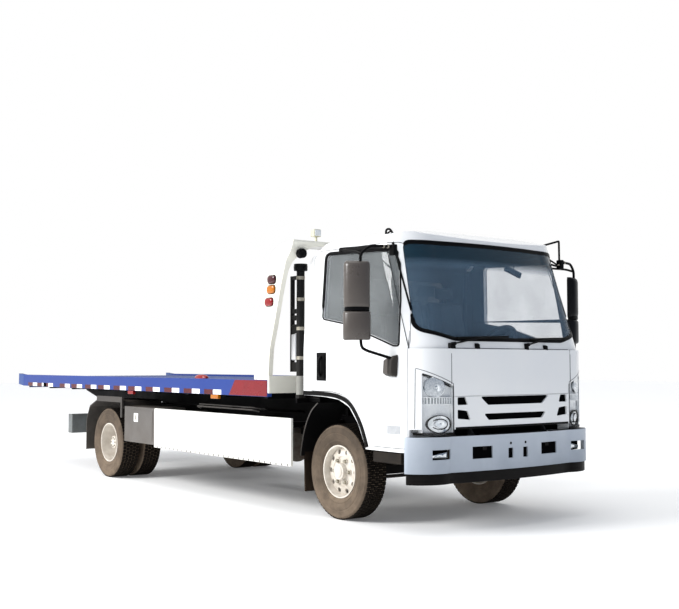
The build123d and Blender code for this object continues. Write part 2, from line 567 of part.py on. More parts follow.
cab_lug -= across(CAB_HINGE_AHEAD, CAB_HINGE_Z, CAB_PIN_RADIUS + PIN_GAP, CAB_LUG_INNER_Y - 5,
                  CAB_LUG_OUTER_Y + 5)
cab_shell += cab_lug
cab_shell += other_side(cab_lug)
save("cab_shell", cab_shell)

# ---------------------------------------------------------------- cab interior
SEAT_BASE_TOP = 1180
SEAT_TOP = 1290
seat_rows = [("driver", 270, 750), ("mate", -750, 230)]
seats = []
for who, y0, y1 in seat_rows:
    base = box(-180, 270, y0 + 40, y1 - 40, FLOOR_TOP_Z + SEAT_GAP, SEAT_BASE_TOP)
    cushion = side_prism([(-200, SEAT_BASE_TOP - 1), (310, SEAT_BASE_TOP - 1), (320, SEAT_TOP), (-180, SEAT_TOP - 40)],
                         y0, y1, 30)
    back = side_prism([(-190, SEAT_TOP - 60), (-60, SEAT_TOP - 60), (-175, 1900), (-250, 1900)],
                      y0 + 15, y1 - 15, 25)
    rest = side_prism([(-245, 1895), (-185, 1895), (-200, 2040), (-255, 2040)], (y0 + y1) / 2 - 120,
                      (y0 + y1) / 2 + 120, 20)
    seats.append(base + cushion + back + rest)
save("seats", *seats)

DASH_HALF = 880
DASH_TOP = 1440
dash = side_prism([(1250, 1305), (1250, DASH_TOP + 5), (900, DASH_TOP), (700, DASH_TOP - 15), (640, 1330), (690, 1230)],
                  -DASH_HALF, DASH_HALF, 25)
dash &= cab_form(CAB_WALL + SEAT_GAP)

WHEEL_CENTRE = (480, 500, 1480)
WHEEL_RING = 200
WHEEL_TUBE = 14
COLUMN_FOOT = (690, 500, 1300)
COLUMN_RADIUS = 28
column = bar(COLUMN_FOOT, WHEEL_CENTRE, COLUMN_RADIUS)
axis_run = Vector(WHEEL_CENTRE[0] - COLUMN_FOOT[0], 0, WHEEL_CENTRE[2] - COLUMN_FOOT[2]).normalized()
ring_plane = Plane(origin=WHEEL_CENTRE, z_dir=axis_run)
steering = ring_plane * Torus(WHEEL_RING, WHEEL_TUBE)
steering += ring_plane * Cylinder(50, 40)
for spoke in range(3):
    steering += ring_plane * Rot(0, 0, 90 + 120 * spoke) * Pos(WHEEL_RING / 2, 0, 0) * Box(WHEEL_RING, 30, 14)
save("steering_wheel", steering + column)
socket_foot = Vector(*COLUMN_FOOT) - 20 * axis_run
dash -= bar(tuple(socket_foot), WHEEL_CENTRE, COLUMN_RADIUS + SEAT_GAP)
save("dashboard", dash)

# ---------------------------------------------------------------- wipers and mirrors


def screen_x(y, z):
    """Front face of the screen at a place, from the front axle."""
    waist = CAB_LEVELS["waist"]
    top = CAB_LEVELS["top"]
    waist_x = waist[4] - (waist[4] - waist[3][0]) * (y / waist[3][1]) ** 2
    top_x = top[4] - (top[4] - top[3][0]) * (y / top[3][1]) ** 2
    share = (z - CAB_WAIST) / (CAB_TOP_LEVEL - CAB_WAIST)
    return waist_x + (top_x - waist_x) * share


WIPER_Z = 1455
BLADE_Z = 1512
WIPER_RISE = 14
wipers = []
for root, tip in ((-660, -60), (146, 700)):
    root_x = screen_x(root, WIPER_Z)
    middle = (root + tip) / 2
    hub = bar((root_x - 5, root, WIPER_Z), (root_x + 40, root, WIPER_Z + 5), 14)
    arm = bar((root_x + 32, root, WIPER_Z + 4), (screen_x(middle, BLADE_Z) + 2 * WIPER_RISE, middle, BLADE_Z), 7)
    blade = bar((screen_x(root + 50, BLADE_Z - 8) + WIPER_RISE + 6, root + 50, BLADE_Z - 8),
                (screen_x(middle, BLADE_Z) + WIPER_RISE + 8, middle, BLADE_Z), 8)
    blade += bar((screen_x(middle, BLADE_Z) + WIPER_RISE + 8, middle, BLADE_Z),
                 (screen_x(tip, BLADE_Z + 8) + WIPER_RISE + 10, tip, BLADE_Z + 8), 8)
    wipers.append(hub + arm + blade - Pos(SEAT_GAP, 0, 0) * cab_outer)
save("wipers", *wipers)

MIRROR_X = 714
MIRROR_Y = 1273
MIRROR_WIDTH = 200
MIRROR_DEPTH = 65
# (foot of the head, top of the head)
MIRROR_HEADS = [(1722, 2096), (1486, 1708)]
MIRROR_ARM = 11


def mirror_set(yaw):
    """A right-hand mirror pair on two arms; yaw turns the heads towards the driver."""
    heads = None
    for low, high in MIRROR_HEADS:
        head = Box(MIRROR_DEPTH, MIRROR_WIDTH, high - low)
        head = fillet(head.edges().filter_by(Axis.Z), 24)
        head = Pos(MIRROR_X, -MIRROR_Y, (low + high) / 2) * Rot(0, 0, yaw) * head
        heads = head if heads is None else heads + head
    stem = bar((MIRROR_X, -MIRROR_Y, 1500), (MIRROR_X, -MIRROR_Y, 2165), MIRROR_ARM)
    top_arm = bar((MIRROR_X, -MIRROR_Y, 2160), (800, -1000, 2215), MIRROR_ARM)
    top_foot = box(765, 825, -1004, -966, 2175, 2235)
    low_arm = bar((MIRROR_X, -MIRROR_Y, 1500), (MIRROR_X + 15, -MIRROR_Y + 10, 1410), MIRROR_ARM)
    low_arm += bar((MIRROR_X + 15, -MIRROR_Y + 10, 1415), (850, -1030, 1360), MIRROR_ARM)
    low_foot = box(745, 880, -1050, -CAB_HALF_WIDTH - SEAT_GAP, 1200, 1375)
    return heads + stem + top_arm + top_foot + low_arm + low_foot


right_mirrors = mirror_set(-37) - cab_outer
left_mirrors = other_side(mirror_set(-30)) - cab_outer
save("mirrors_right", right_mirrors)
save("mirrors_left", left_mirrors)

# ---------------------------------------------------------------- bumper and valance
BUMPER_TOP = 745
BUMPER_BOTTOM = 470
BUMPER_SKIN = 12
CAB_LEVELS["bumper"] = (1030, 1000, (1100, 945), (1138, 690), FRONT_OVERHANG)
BUMPER_REAR = 982
bumper_outer = extrude(plan_face("bumper", 0, BUMPER_BOTTOM, BUMPER_REAR), amount=BUMPER_TOP - BUMPER_BOTTOM,
                       dir=(0, 0, 1))
bumper_room = extrude(plan_face("bumper", BUMPER_SKIN, BUMPER_BOTTOM - 5, BUMPER_REAR - 60),
                      amount=BUMPER_TOP - BUMPER_BOTTOM - 7, dir=(0, 0, 1))
bumper_open = extrude(plan_face("bumper", 45, BUMPER_BOTTOM - 5, BUMPER_REAR - 90),
                      amount=BUMPER_TOP - BUMPER_BOTTOM + 20, dir=(0, 0, 1))
bumper = bumper_outer - bumper_room - bumper_open
for sign in (1, -1):
    bumper -= box(1000, 1300, sign * 283, sign * 487, 565, 660)
    bumper -= box(1000, 1300, sign * 58, sign * 112, 555, 635)
    bumper -= box(1000, 1300, sign * 700, sign * 880, 575, 650)
    bumper -= box(1000, 1156, sign * 376, sign * 455, BUMPER_TOP - 40, BUMPER_TOP + 5)
    arm = box(RAIL_FRONT + SEAT_GAP, 1172, sign * 340, sign * 382, RAIL_BOTTOM, RAIL_BOTTOM + 50)
    bumper += arm
save("bumper", bumper)
VALANCE_BOTTOM = 385
VALANCE_TUCK = 25
valance_inset = BUMPER_SKIN + SEAT_GAP
valance = extrude(plan_face("bumper", valance_inset, VALANCE_BOTTOM, BUMPER_REAR - valance_inset),
                  amount=BUMPER_BOTTOM + VALANCE_TUCK - VALANCE_BOTTOM, dir=(0, 0, 1))
valance -= extrude(plan_face("bumper", valance_inset + BUMPER_SKIN, VALANCE_BOTTOM - 5, BUMPER_REAR - 90),
                   amount=BUMPER_BOTTOM + VALANCE_TUCK - VALANCE_BOTTOM + 10, dir=(0, 0, 1))
save("bumper_valance", valance)

# ---------------------------------------------------------------- wheel houses and cab steps
STEP_TOP = 612
step = box(560, 900, 905, 990, 530, STEP_TOP)
step += box(660, 720, RAIL_OUTER_Y + SEAT_GAP, 910, STEP_TOP - 40, STEP_TOP - 10)
step += box(660, 720, RAIL_OUTER_Y + SEAT_GAP, RAIL_OUTER_Y + 12, STEP_TOP - 40, RAIL_BOTTOM + 60)
save("cab_steps", *pair(step))

# ---------------------------------------------------------------- front mudflaps
flap = side_prism([(-470, 190), (-455, 190), (-475, 760), (-490, 760)], 640, 925)
flap += box(-490, -450, RAIL_OUTER_Y + SEAT_GAP, 645, 690, 730)
save("front_mudflaps", *pair(flap))

# ---------------------------------------------------------------- side guards
# Between the front wheel and the tool boxes, which stand ahead of the rear mudguards.
GUARD_Y = 1100
GUARD_FRONT = -433
GUARD_BOTTOM = 416
GUARD_TOP = 831
GUARD_THICK = 28
TOOL_REAR = REAR_AXLE + 440
TOOL_LENGTH = 725
TOOL_FRONT = TOOL_REAR + TOOL_LENGTH
GUARD_REAR = TOOL_FRONT + 10
BRACKET_BOTTOM = RAIL_TOP - 90
BRACKET_TOP = RAIL_TOP - 40
guard = box(GUARD_REAR, GUARD_FRONT, GUARD_Y - GUARD_THICK, GUARD_Y, GUARD_BOTTOM, GUARD_TOP)
for place in (GUARD_FRONT - 167, (GUARD_FRONT + GUARD_REAR) / 2, GUARD_REAR + 120):
    guard += box(place - 30, place + 30, RAIL_OUTER_Y + SEAT_GAP, GUARD_Y - 5, BRACKET_BOTTOM, BRACKET_TOP)
save("side_guards", *pair(guard))

# ---------------------------------------------------------------- tool boxes, tank, battery, silencer
TOOL_INNER_Y = 720
TOOL_BOTTOM = 440
tool = box(TOOL_REAR, TOOL_FRONT, TOOL_INNER_Y, GUARD_Y - 5, TOOL_BOTTOM, GUARD_TOP)
for place in (TOOL_REAR + 90, TOOL_FRONT - 90):
    tool += box(place - 30, place + 30, RAIL_OUTER_Y + SEAT_GAP, TOOL_INNER_Y + 5, BRACKET_BOTTOM, BRACKET_TOP)
save("tool_boxes", *pair(tool))
TANK_FRONT = -1900
TANK_LENGTH = 600
TANK_INNER_Y = 470
TANK_OUTER_Y = 1030
TANK_BOTTOM = 400
TANK_TOP = 700
tank = front_prism([(TANK_INNER_Y, TANK_BOTTOM), (TANK_OUTER_Y, TANK_BOTTOM), (TANK_OUTER_Y, TANK_TOP),
                    (TANK_INNER_Y, TANK_TOP)], TANK_FRONT - TANK_LENGTH, TANK_FRONT, 60)
for place in (TANK_FRONT - 370, TANK_FRONT - 230):
    tank += box(place - 30, place + 30, RAIL_OUTER_Y + SEAT_GAP, TANK_INNER_Y + 10, 560, RAIL_BOTTOM + 40)
save("fuel_tank", tank)
BATTERY_FRONT = -900
BATTERY_LENGTH = 600
BATTERY_INNER_Y = 560
BATTERY_BOTTOM = 420
BATTERY_TOP = 700
battery = box(BATTERY_FRONT - BATTERY_LENGTH, BATTERY_FRONT, BATTERY_INNER_Y, TANK_OUTER_Y, BATTERY_BOTTOM,
              BATTERY_TOP)
for place in (BATTERY_FRONT - 490, BATTERY_FRONT - 110):
    battery += box(place - 30, place + 30, RAIL_OUTER_Y + SEAT_GAP, BATTERY_INNER_Y + 5, BATTERY_TOP - 60,
                   BATTERY_TOP - 10)
save("battery_box", battery)
SILENCER_FRONT = -1000
SILENCER_LENGTH = 600
SILENCER_RADIUS = 130
TAIL_PIPE_RADIUS = 38
TAIL_PIPE_LENGTH = 1000
PIPE_Y = -620
PIPE_Z = 520
silencer_rear = SILENCER_FRONT - SILENCER_LENGTH
silencer = bar((SILENCER_FRONT, PIPE_Y, PIPE_Z), (silencer_rear, PIPE_Y, PIPE_Z), SILENCER_RADIUS)
silencer += bar((silencer_rear + 10, PIPE_Y, PIPE_Z), (silencer_rear - TAIL_PIPE_LENGTH, PIPE_Y, PIPE_Z),
                TAIL_PIPE_RADIUS)
silencer += box(silencer_rear + 270, silencer_rear + 330, PIPE_Y + 60, -RAIL_OUTER_Y - SEAT_GAP,
                PIPE_Z + 80, RAIL_BOTTOM + 50)
save("silencer", silencer)

# ---------------------------------------------------------------- rear mudguards
GUARD_INNER_Y = 585
FASCIA_BOTTOM = 868
FASCIA_TOP = 930
# the bent plate over the tyres as (x from the rear axle, z), inner face and then outer face
ROOF_PLATE = [
    (375, 800), (329, 872), (303, 882), (-305, 882), (-529, 794), (-617, 640), (-620, 280),
    (-628, 280), (-625, 645), (-533, 806), (-309, 890), (309, 890), (337, 880), (383, 802),
]
fascia = box(REAR_AXLE - 305, REAR_AXLE + 375, GUARD_Y - 14, GUARD_Y, FASCIA_BOTTOM, FASCIA_TOP)
roof_plate = side_prism([(REAR_AXLE + x, z) for x, z in ROOF_PLATE], GUARD_INNER_Y, GUARD_Y - 13)
bracket = box(REAR_AXLE + 343, REAR_AXLE + 375, GUARD_Y - 20, GUARD_Y, 700, FASCIA_TOP)
stay_rear = REAR_AXLE - 465
stay = box(stay_rear, stay_rear + 50, RAIL_OUTER_Y + SEAT_GAP, GUARD_INNER_Y + 15, RAIL_TOP - 40, RAIL_TOP)
stay += box(stay_rear, stay_rear + 50, GUARD_INNER_Y - 5, GUARD_INNER_Y + 15, RAIL_TOP - 40, RAIL_TOP + 6)
stay += box(REAR_AXLE + 360, REAR_AXLE + 385, RAIL_OUTER_Y + SEAT_GAP, GUARD_INNER_Y + 15, 785, 806)
save("rear_mudguards", *pair(fascia + roof_plate + bracket + stay))

# ---------------------------------------------------------------- tail bar and lamps
TAIL_BAR_FRONT = -CHASSIS_TAIL + 220
TAIL_BAR_REAR = TAIL_BAR_FRONT - 120
TAIL_BAR_BOTTOM = 432
TAIL_BAR_TOP = 668
TAIL_BAR_HALF = 985
tail_bar = box(TAIL_BAR_REAR, TAIL_BAR_FRONT, -TAIL_BAR_HALF, TAIL_BAR_HALF, TAIL_BAR_BOTTOM + 60, TAIL_BAR_TOP - 60)
for sign in (1, -1):
    tail_bar += box(TAIL_BAR_REAR, TAIL_BAR_FRONT, sign * 620, sign * TAIL_BAR_HALF, TAIL_BAR_BOTTOM, TAIL_BAR_TOP)
    tail_bar += box(TAIL_BAR_REAR + 20, TAIL_BAR_FRONT - 10, sign * 338, sign * 395, TAIL_BAR_TOP - 70,
                    RAIL_BOTTOM - SEAT_GAP)
save("tail_bar", tail_bar)
tail_lamp = box(TAIL_BAR_REAR - 35, TAIL_BAR_REAR - SEAT_GAP, 640, TAIL_BAR_HALF - 20, TAIL_BAR_BOTTOM + 60,
                TAIL_BAR_TOP - 60)
save("tail_lamps", *pair(tail_lamp))

# ---------------------------------------------------------------- rack behind the cab
RACK_X = -525
RACK_HALF = 965
REST_TOP = CAB_BACK_BOTTOM - 3 * SEAT_GAP
rack = box(RACK_X - 40, RACK_X, -RAIL_OUTER_Y, RAIL_OUTER_Y, RAIL_TOP + SEAT_GAP, 1000)
rack += box(RACK_X - 30, RACK_X - 5, -RACK_HALF, RACK_HALF, 960, 1000)
for sign in (1, -1):
    rack += box(RACK_X - 20, -CAB_REAR + 22, sign * 780, sign * 840, 970, 1000)
    rack += box(-CAB_REAR + 2, -CAB_REAR + 22, sign * 780, sign * 840, 970, REST_TOP)
save("cab_rest", rack)
SNORKEL_Y = -930
SNORKEL_X = -530
SNORKEL_RADIUS = 36
SNORKEL_FOOT = 1000 + SEAT_GAP
SNORKEL_NECK = 2135
LADDER_X = SNORKEL_X - 125    # the ladder's rear upright
# ladder rungs behind the duct, as (foot, top)
RUNGS = [(1232, 1318), (1573, 1655), (1690, 1735), (1752, 1792), (2055, 2088)]
snorkel = bar((SNORKEL_X, SNORKEL_Y, SNORKEL_FOOT), (SNORKEL_X, SNORKEL_Y, SNORKEL_NECK), SNORKEL_RADIUS)
snorkel += bar((SNORKEL_X, SNORKEL_Y, SNORKEL_NECK - 5), (SNORKEL_X, SNORKEL_Y, SNORKEL_NECK + 55), 60)
snorkel += box(RACK_X - 30, SNORKEL_X + 30, SNORKEL_Y - 35, SNORKEL_Y + 35, SNORKEL_FOOT, SNORKEL_FOOT + 30)
snorkel += box(LADDER_X - 8, LADDER_X + 8, SNORKEL_Y - 20, SNORKEL_Y + 20, RUNGS[0][0], RUNGS[-1][1])
for foot, top in RUNGS:
    snorkel += box(LADDER_X, SNORKEL_X, SNORKEL_Y - 16, SNORKEL_Y + 16, foot, top)
save("air_intake", snorkel)

# ---------------------------------------------------------------- tilt frame
TILT_FRONT = -760
TILT_REAR = -TILT_PIVOT_BACK - 650
TILT_TOP = BED_BOTTOM - 0.5
TILT_WALL = 8
TILT_TAPER = 400
rail_side = [(TILT_FRONT, TILT_RAIL_BOTTOM + 40), (TILT_FRONT - 60, TILT_RAIL_BOTTOM),
             (TILT_REAR + TILT_TAPER, TILT_RAIL_BOTTOM), (TILT_REAR, TILT_TOP - 60), (TILT_REAR, TILT_TOP),
             (TILT_FRONT, TILT_TOP)]
tilt_frame = None
for sign in (1, -1):
    y0, y1 = sorted((sign * TILT_RAIL_INNER_Y, sign * TILT_RAIL_OUTER_Y))
    beam = side_prism(rail_side, y0, y1)
    hollow = box(TILT_REAR + TILT_TAPER, TILT_FRONT - 100, y0 + TILT_WALL, y1 - TILT_WALL,
                 TILT_RAIL_BOTTOM + TILT_WALL, TILT_TOP - TILT_WALL)
    beam -= hollow
    lug = side_prism([(-TILT_PIVOT_BACK - 45, TILT_PIVOT_Z - 30), (-TILT_PIVOT_BACK + 45, TILT_PIVOT_Z - 30),
                      (-TILT_PIVOT_BACK + 110, TILT_RAIL_BOTTOM + 4), (-TILT_PIVOT_BACK - 110, TILT_RAIL_BOTTOM + 4)],
                     *sorted((sign * TILT_LUG_INNER_Y, sign * TILT_LUG_OUTER_Y)), 20)
    lug -= across(-TILT_PIVOT_BACK, TILT_PIVOT_Z, TILT_PIN_RADIUS + PIN_GAP, sign * 400, sign * 470)
    tilt_frame = beam + lug if tilt_frame is None else tilt_frame + beam + lug
for place in (TILT_FRONT - 140, -1900, REAR_AXLE + 875, REAR_AXLE - 225, REAR_AXLE - 1225, TILT_REAR + 200):
    tilt_frame += box(place - 40, place + 40, -TILT_RAIL_INNER_Y - 2, TILT_RAIL_INNER_Y + 2,
                      TILT_TOP - 90, TILT_TOP - 20)
# ears for the rods of the tilt cylinders, under the cross member at ROD_EAR
BARREL_FOOT_X = REAR_AXLE + 775
ROD_EAR_X = BARREL_FOOT_X + 800
ROD_EAR_Z = 880
ROD_Y = 200
ROD_EYE_RADIUS = 32
ROD_EYE_HALF = 20
EAR_THICK = 14
tilt_frame += box(ROD_EAR_X - 50, ROD_EAR_X + 50, -TILT_RAIL_INNER_Y - 2, TILT_RAIL_INNER_Y + 2,
                  TILT_TOP - 70, TILT_TOP - 20)
for sign in (1, -1):
    for step_out in (1, -1):
        ear_y = sign * ROD_Y + step_out * (ROD_EYE_HALF + 4 + EAR_THICK / 2)
        tilt_frame += side_prism([(ROD_EAR_X - 35, ROD_EAR_Z - 32), (ROD_EAR_X + 35, ROD_EAR_Z - 32),
                                  (ROD_EAR_X + 48, TILT_TOP - 60), (ROD_EAR_X - 48, TILT_TOP - 60)],
                                 ear_y - EAR_THICK / 2, ear_y + EAR_THICK / 2)
save("tilt_frame", tilt_frame)

# ---------------------------------------------------------------- tilt cylinders
BARREL_FOOT_Z = 730
BARREL_RADIUS = 48
ROD_RADIUS = 22
BARREL_LENGTH = 600
FOOT_PIN_RADIUS = 20
lean = Vector(ROD_EAR_X - BARREL_FOOT_X, 0, ROD_EAR_Z - BARREL_FOOT_Z)
unit = lean.normalized()


def along(distance, y):
    """A place on the cylinder's axis, measured from its foot pin."""
    return (BARREL_FOOT_X + unit.X * distance, y, BARREL_FOOT_Z + unit.Z * distance)


barrels = []
rods = []
for y in (ROD_Y, -ROD_Y):
    barrel = bar(along(55, y), along(BARREL_LENGTH, y), BARREL_RADIUS)
    barrel += across(BARREL_FOOT_X, BARREL_FOOT_Z, 40, y - 22, y + 22)
    barrel += bar(along(10, y), along(80, y), 22)
    barrel -= across(BARREL_FOOT_X, BARREL_FOOT_Z, FOOT_PIN_RADIUS + PIN_GAP, y - 40, y + 40)
    barrel -= bar(along(110, y), along(BARREL_LENGTH + 10, y), ROD_RADIUS + PIN_GAP)
    barrels.append(barrel)
    rod = bar(along(130, y), along(lean.length - 15, y), ROD_RADIUS)
    rod += across(ROD_EAR_X, ROD_EAR_Z, ROD_EYE_RADIUS, y - ROD_EYE_HALF, y + ROD_EYE_HALF)
    rods.append(rod)
save("tilt_barrels", *barrels)
save("tilt_rods", *rods)
chassis += across(BARREL_FOOT_X, BARREL_FOOT_Z, FOOT_PIN_RADIUS, -ROD_Y - 60, ROD_Y + 60)
for y in (ROD_Y, -ROD_Y):
    for step_out in (1, -1):
        ear_y = y + step_out * 38
        chassis += box(BARREL_FOOT_X - 55, BARREL_FOOT_X + 30, ear_y - 8, ear_y + 8, 690, 770)
save("chassis_frame", chassis)

# ---------------------------------------------------------------- bed: floor, guides, bearers, side rails
RAMP_LENGTH = 190
BEARER_BOTTOM = 965
BEARER_WIDTH = 60
GUIDE_WIDTH = 14
WINCH_PLATE_REAR = 1250   # thicker deck plate under the winch, from here to the front
WINCH_SEAT = FLOOR_TOP + 5
INNER_HALF = BED_HALF_WIDTH - SIDE_RAIL_WIDTH
bed = box(-BED_TAIL + RAMP_LENGTH - 10, -BED_FRONT, -INNER_HALF + SEAT_GAP, INNER_HALF - SEAT_GAP,
          FLOOR_TOP - FLOOR_PLATE, FLOOR_TOP)
for sign in (1, -1):
    bed += box(-BED_TAIL + RAMP_LENGTH - 10, -BED_FRONT - 20, sign * (TILT_RAIL_INNER_Y + 5),
               sign * (TILT_RAIL_OUTER_Y - 5), BED_BOTTOM, FLOOR_TOP - FLOOR_PLATE + 1)
    bed += box(-BED_TAIL + RAMP_LENGTH - 10, -BED_FRONT - 40, sign * (TILT_RAIL_OUTER_Y + MOVE_GAP),
               sign * (TILT_RAIL_OUTER_Y + MOVE_GAP + GUIDE_WIDTH), BEARER_BOTTOM, FLOOR_TOP - FLOOR_PLATE + 1)
BEARER_COUNT = 9
bearer_pitch = (BED_TAIL - RAMP_LENGTH - BED_FRONT - 200) / (BEARER_COUNT - 1)
for index in range(BEARER_COUNT):
    place = -BED_FRONT - 100 - index * bearer_pitch
    for sign in (1, -1):
        bed += box(place - BEARER_WIDTH / 2, place + BEARER_WIDTH / 2, sign * (TILT_RAIL_OUTER_Y + MOVE_GAP + 2),
                   sign * (INNER_HALF - SEAT_GAP), BED_BOTTOM - 20, FLOOR_TOP - FLOOR_PLATE + 1)
    bed += box(place - BEARER_WIDTH / 2, place + BEARER_WIDTH / 2, -TILT_RAIL_INNER_Y - 20, TILT_RAIL_INNER_Y + 20,
               BED_BOTTOM + 20, FLOOR_TOP - FLOOR_PLATE + 1)
ramp = side_prism([(-BED_TAIL, BED_BOTTOM + 20), (-BED_TAIL + RAMP_LENGTH, BED_BOTTOM),
                   (-BED_TAIL + RAMP_LENGTH, FLOOR_TOP), (-BED_TAIL, FLOOR_TOP - 70)],
                  -BED_HALF_WIDTH, BED_HALF_WIDTH)
for sign in (1, -1):
    ramp += side_prism([(-BED_TAIL, BED_BOTTOM + 20), (-BED_TAIL + RAMP_LENGTH, BED_BOTTOM),
                        (-BED_TAIL + RAMP_LENGTH, BED_TOP), (-BED_TAIL, BED_TOP + 15)],
                       *sorted((sign * INNER_HALF, sign * BED_HALF_WIDTH)))
bed += ramp
bed += box(-WINCH_PLATE_REAR, -BED_FRONT, -INNER_HALF + SEAT_GAP, INNER_HALF - SEAT_GAP, FLOOR_TOP - 1, WINCH_SEAT)
save("bed_floor", bed)
rail = box(-BED_TAIL + RAMP_LENGTH + SEAT_GAP, -BED_FRONT, INNER_HALF, BED_HALF_WIDTH, BED_BOTTOM, BED_TOP)
save("bed_side_rails", *pair(rail))

# ---------------------------------------------------------------- headboard arch, with its foot board
BOARD_FRONT = -700
BOARD_BOTTOM = 1042
BOARD_TOP = 1197
# side outline (x, z, corner radius), up the rear edge, over the top and down the front edge
ARCH_SIDE = [
    (-947, BED_TOP + SEAT_GAP, 0), (-950, 1480, 100), (-868, 1747, 200), (-765, 1985, 200), (-712, 2170, 80),
    (-650, 2295, 100), (-530, 2352, 100), (-328, 2378, 4), (-328, 2362, 4), (-372, 2278, 30), (-440, 2205, 60),
    (-531, 1949, 300), (-606, 1700, 300), (-690, 1440, 200), (-717, BED_TOP + SEAT_GAP, 0),
]
ARCH_LEG = 48
ARCH_INSIDE_TOP = 2335
arch = along_y(side_outline(ARCH_SIDE), -BED_HALF_WIDTH, BED_HALF_WIDTH)
arch_inside = BED_HALF_WIDTH - ARCH_LEG
arch -= front_prism([(-arch_inside, 1000), (arch_inside, 1000), (arch_inside, ARCH_INSIDE_TOP),
                     (-arch_inside, ARCH_INSIDE_TOP)], -1200, -200, [0, 0, 260, 260])
arch += box(-BED_FRONT + SEAT_GAP, BOARD_FRONT, -BED_HALF_WIDTH, BED_HALF_WIDTH, BOARD_BOTTOM, BOARD_TOP)
save("headboard_arch", arch)
ARCH_LAMPS = [("red", -659, 2049), ("amber", -668, 1961), ("rear_red", -700, 1851)]
LAMP_LENGTH = 124
LAMP_HEIGHT = 72
lamps = []
for colour, x, z in ARCH_LAMPS:
    lens = [(x - LAMP_LENGTH / 2, z - LAMP_HEIGHT / 2), (x + LAMP_LENGTH / 2, z - LAMP_HEIGHT / 2),
            (x + LAMP_LENGTH / 2, z + LAMP_HEIGHT / 2), (x - LAMP_LENGTH / 2, z + LAMP_HEIGHT / 2)]
    lamps += pair(side_prism(lens, BED_HALF_WIDTH + SEAT_GAP, BED_HALF_WIDTH + 22, LAMP_HEIGHT / 2 - 1))
save("arch_lamps", *lamps)
work_lamp = box(-470, -400, 790, 870, 2430, 2500) + box(-450, -420, 820, 840, 2345, 2435)
work_lamp -= Pos(0, 0, SEAT_GAP) * arch
save("work_lamps", *pair(work_lamp))

# ---------------------------------------------------------------- winch
WINCH_X = -1000
winch = box(WINCH_X - 180, WINCH_X + 150, -330, 330, WINCH_SEAT + SEAT_GAP, WINCH_SEAT + 20)
for sign in (1, -1):
    winch += box(WINCH_X - 130, WINCH_X + 130, sign * 215, sign * 235, WINCH_SEAT + 10, WINCH_SEAT + 300)
winch += across(WINCH_X, WINCH_SEAT + 160, 75, -220, 220)
winch += across(WINCH_X, WINCH_SEAT + 160, 95, 230, 320)
save("winch", winch)
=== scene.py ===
import json
import math

import bmesh
import bpy
from mathutils import Matrix, Vector
from mathutils.bvhtree import BVHTree

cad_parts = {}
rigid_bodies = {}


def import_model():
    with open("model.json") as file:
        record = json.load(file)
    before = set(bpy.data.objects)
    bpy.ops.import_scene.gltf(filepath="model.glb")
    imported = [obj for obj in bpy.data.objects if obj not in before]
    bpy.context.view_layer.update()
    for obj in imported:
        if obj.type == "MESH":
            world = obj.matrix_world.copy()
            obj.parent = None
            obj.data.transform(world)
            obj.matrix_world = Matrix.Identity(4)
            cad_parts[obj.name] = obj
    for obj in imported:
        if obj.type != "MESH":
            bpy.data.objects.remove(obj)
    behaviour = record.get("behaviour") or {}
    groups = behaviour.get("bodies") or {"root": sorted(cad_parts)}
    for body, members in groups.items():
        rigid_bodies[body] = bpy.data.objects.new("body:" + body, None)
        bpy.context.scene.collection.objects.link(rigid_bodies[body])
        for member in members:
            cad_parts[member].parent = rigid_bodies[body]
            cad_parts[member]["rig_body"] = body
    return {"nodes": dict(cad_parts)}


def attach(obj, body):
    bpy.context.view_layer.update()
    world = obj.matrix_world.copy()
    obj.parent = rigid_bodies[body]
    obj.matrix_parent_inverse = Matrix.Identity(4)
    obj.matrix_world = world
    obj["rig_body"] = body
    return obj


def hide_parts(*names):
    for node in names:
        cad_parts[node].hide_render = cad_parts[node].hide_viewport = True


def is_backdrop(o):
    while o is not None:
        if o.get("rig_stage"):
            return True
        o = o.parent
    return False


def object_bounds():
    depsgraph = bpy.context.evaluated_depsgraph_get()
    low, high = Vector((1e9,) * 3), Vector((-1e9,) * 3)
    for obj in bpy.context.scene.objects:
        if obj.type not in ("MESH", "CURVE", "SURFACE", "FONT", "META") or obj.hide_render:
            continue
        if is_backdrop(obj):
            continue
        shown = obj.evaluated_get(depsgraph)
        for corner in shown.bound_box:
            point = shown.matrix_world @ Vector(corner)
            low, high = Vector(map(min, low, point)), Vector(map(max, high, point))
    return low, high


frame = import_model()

cad_low, cad_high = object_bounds()
nodes = frame["nodes"]
axle_x = 2.885                    # the front axle; lengthways sizes below are measured from it

# ------------------------------------------------------------------ studio
# A pale floor under a soft sky that is whiter on the far side, with one large key light on
# the truck's right and a weak, wide one from straight above.


def linear(hex_colour):
    """An sRGB hex colour as linear RGBA."""
    parts = [int(hex_colour[i:i + 2], 16) / 255 for i in (1, 3, 5)]
    return [c / 12.92 if c <= 0.04045 else ((c + 0.055) / 1.055) ** 2.4 for c in parts] + [1.0]


def add_node(tree, kind, settings=None, links=None):
    """One node with its settings, by socket or by property, and the sockets that feed it. A
    Map Range's sockets 1 to 4 are its limits; a Mix's 0 is the share and 6 and 7 its colours."""
    node = tree.nodes.new(kind)
    for key, value in (settings or {}).items():
        if isinstance(key, int) or key in node.inputs:
            node.inputs[key].default_value = value
        else:
            setattr(node, key, value)
    for key, source in (links or {}).items():
        tree.links.new(source, node.inputs[key])
    return node


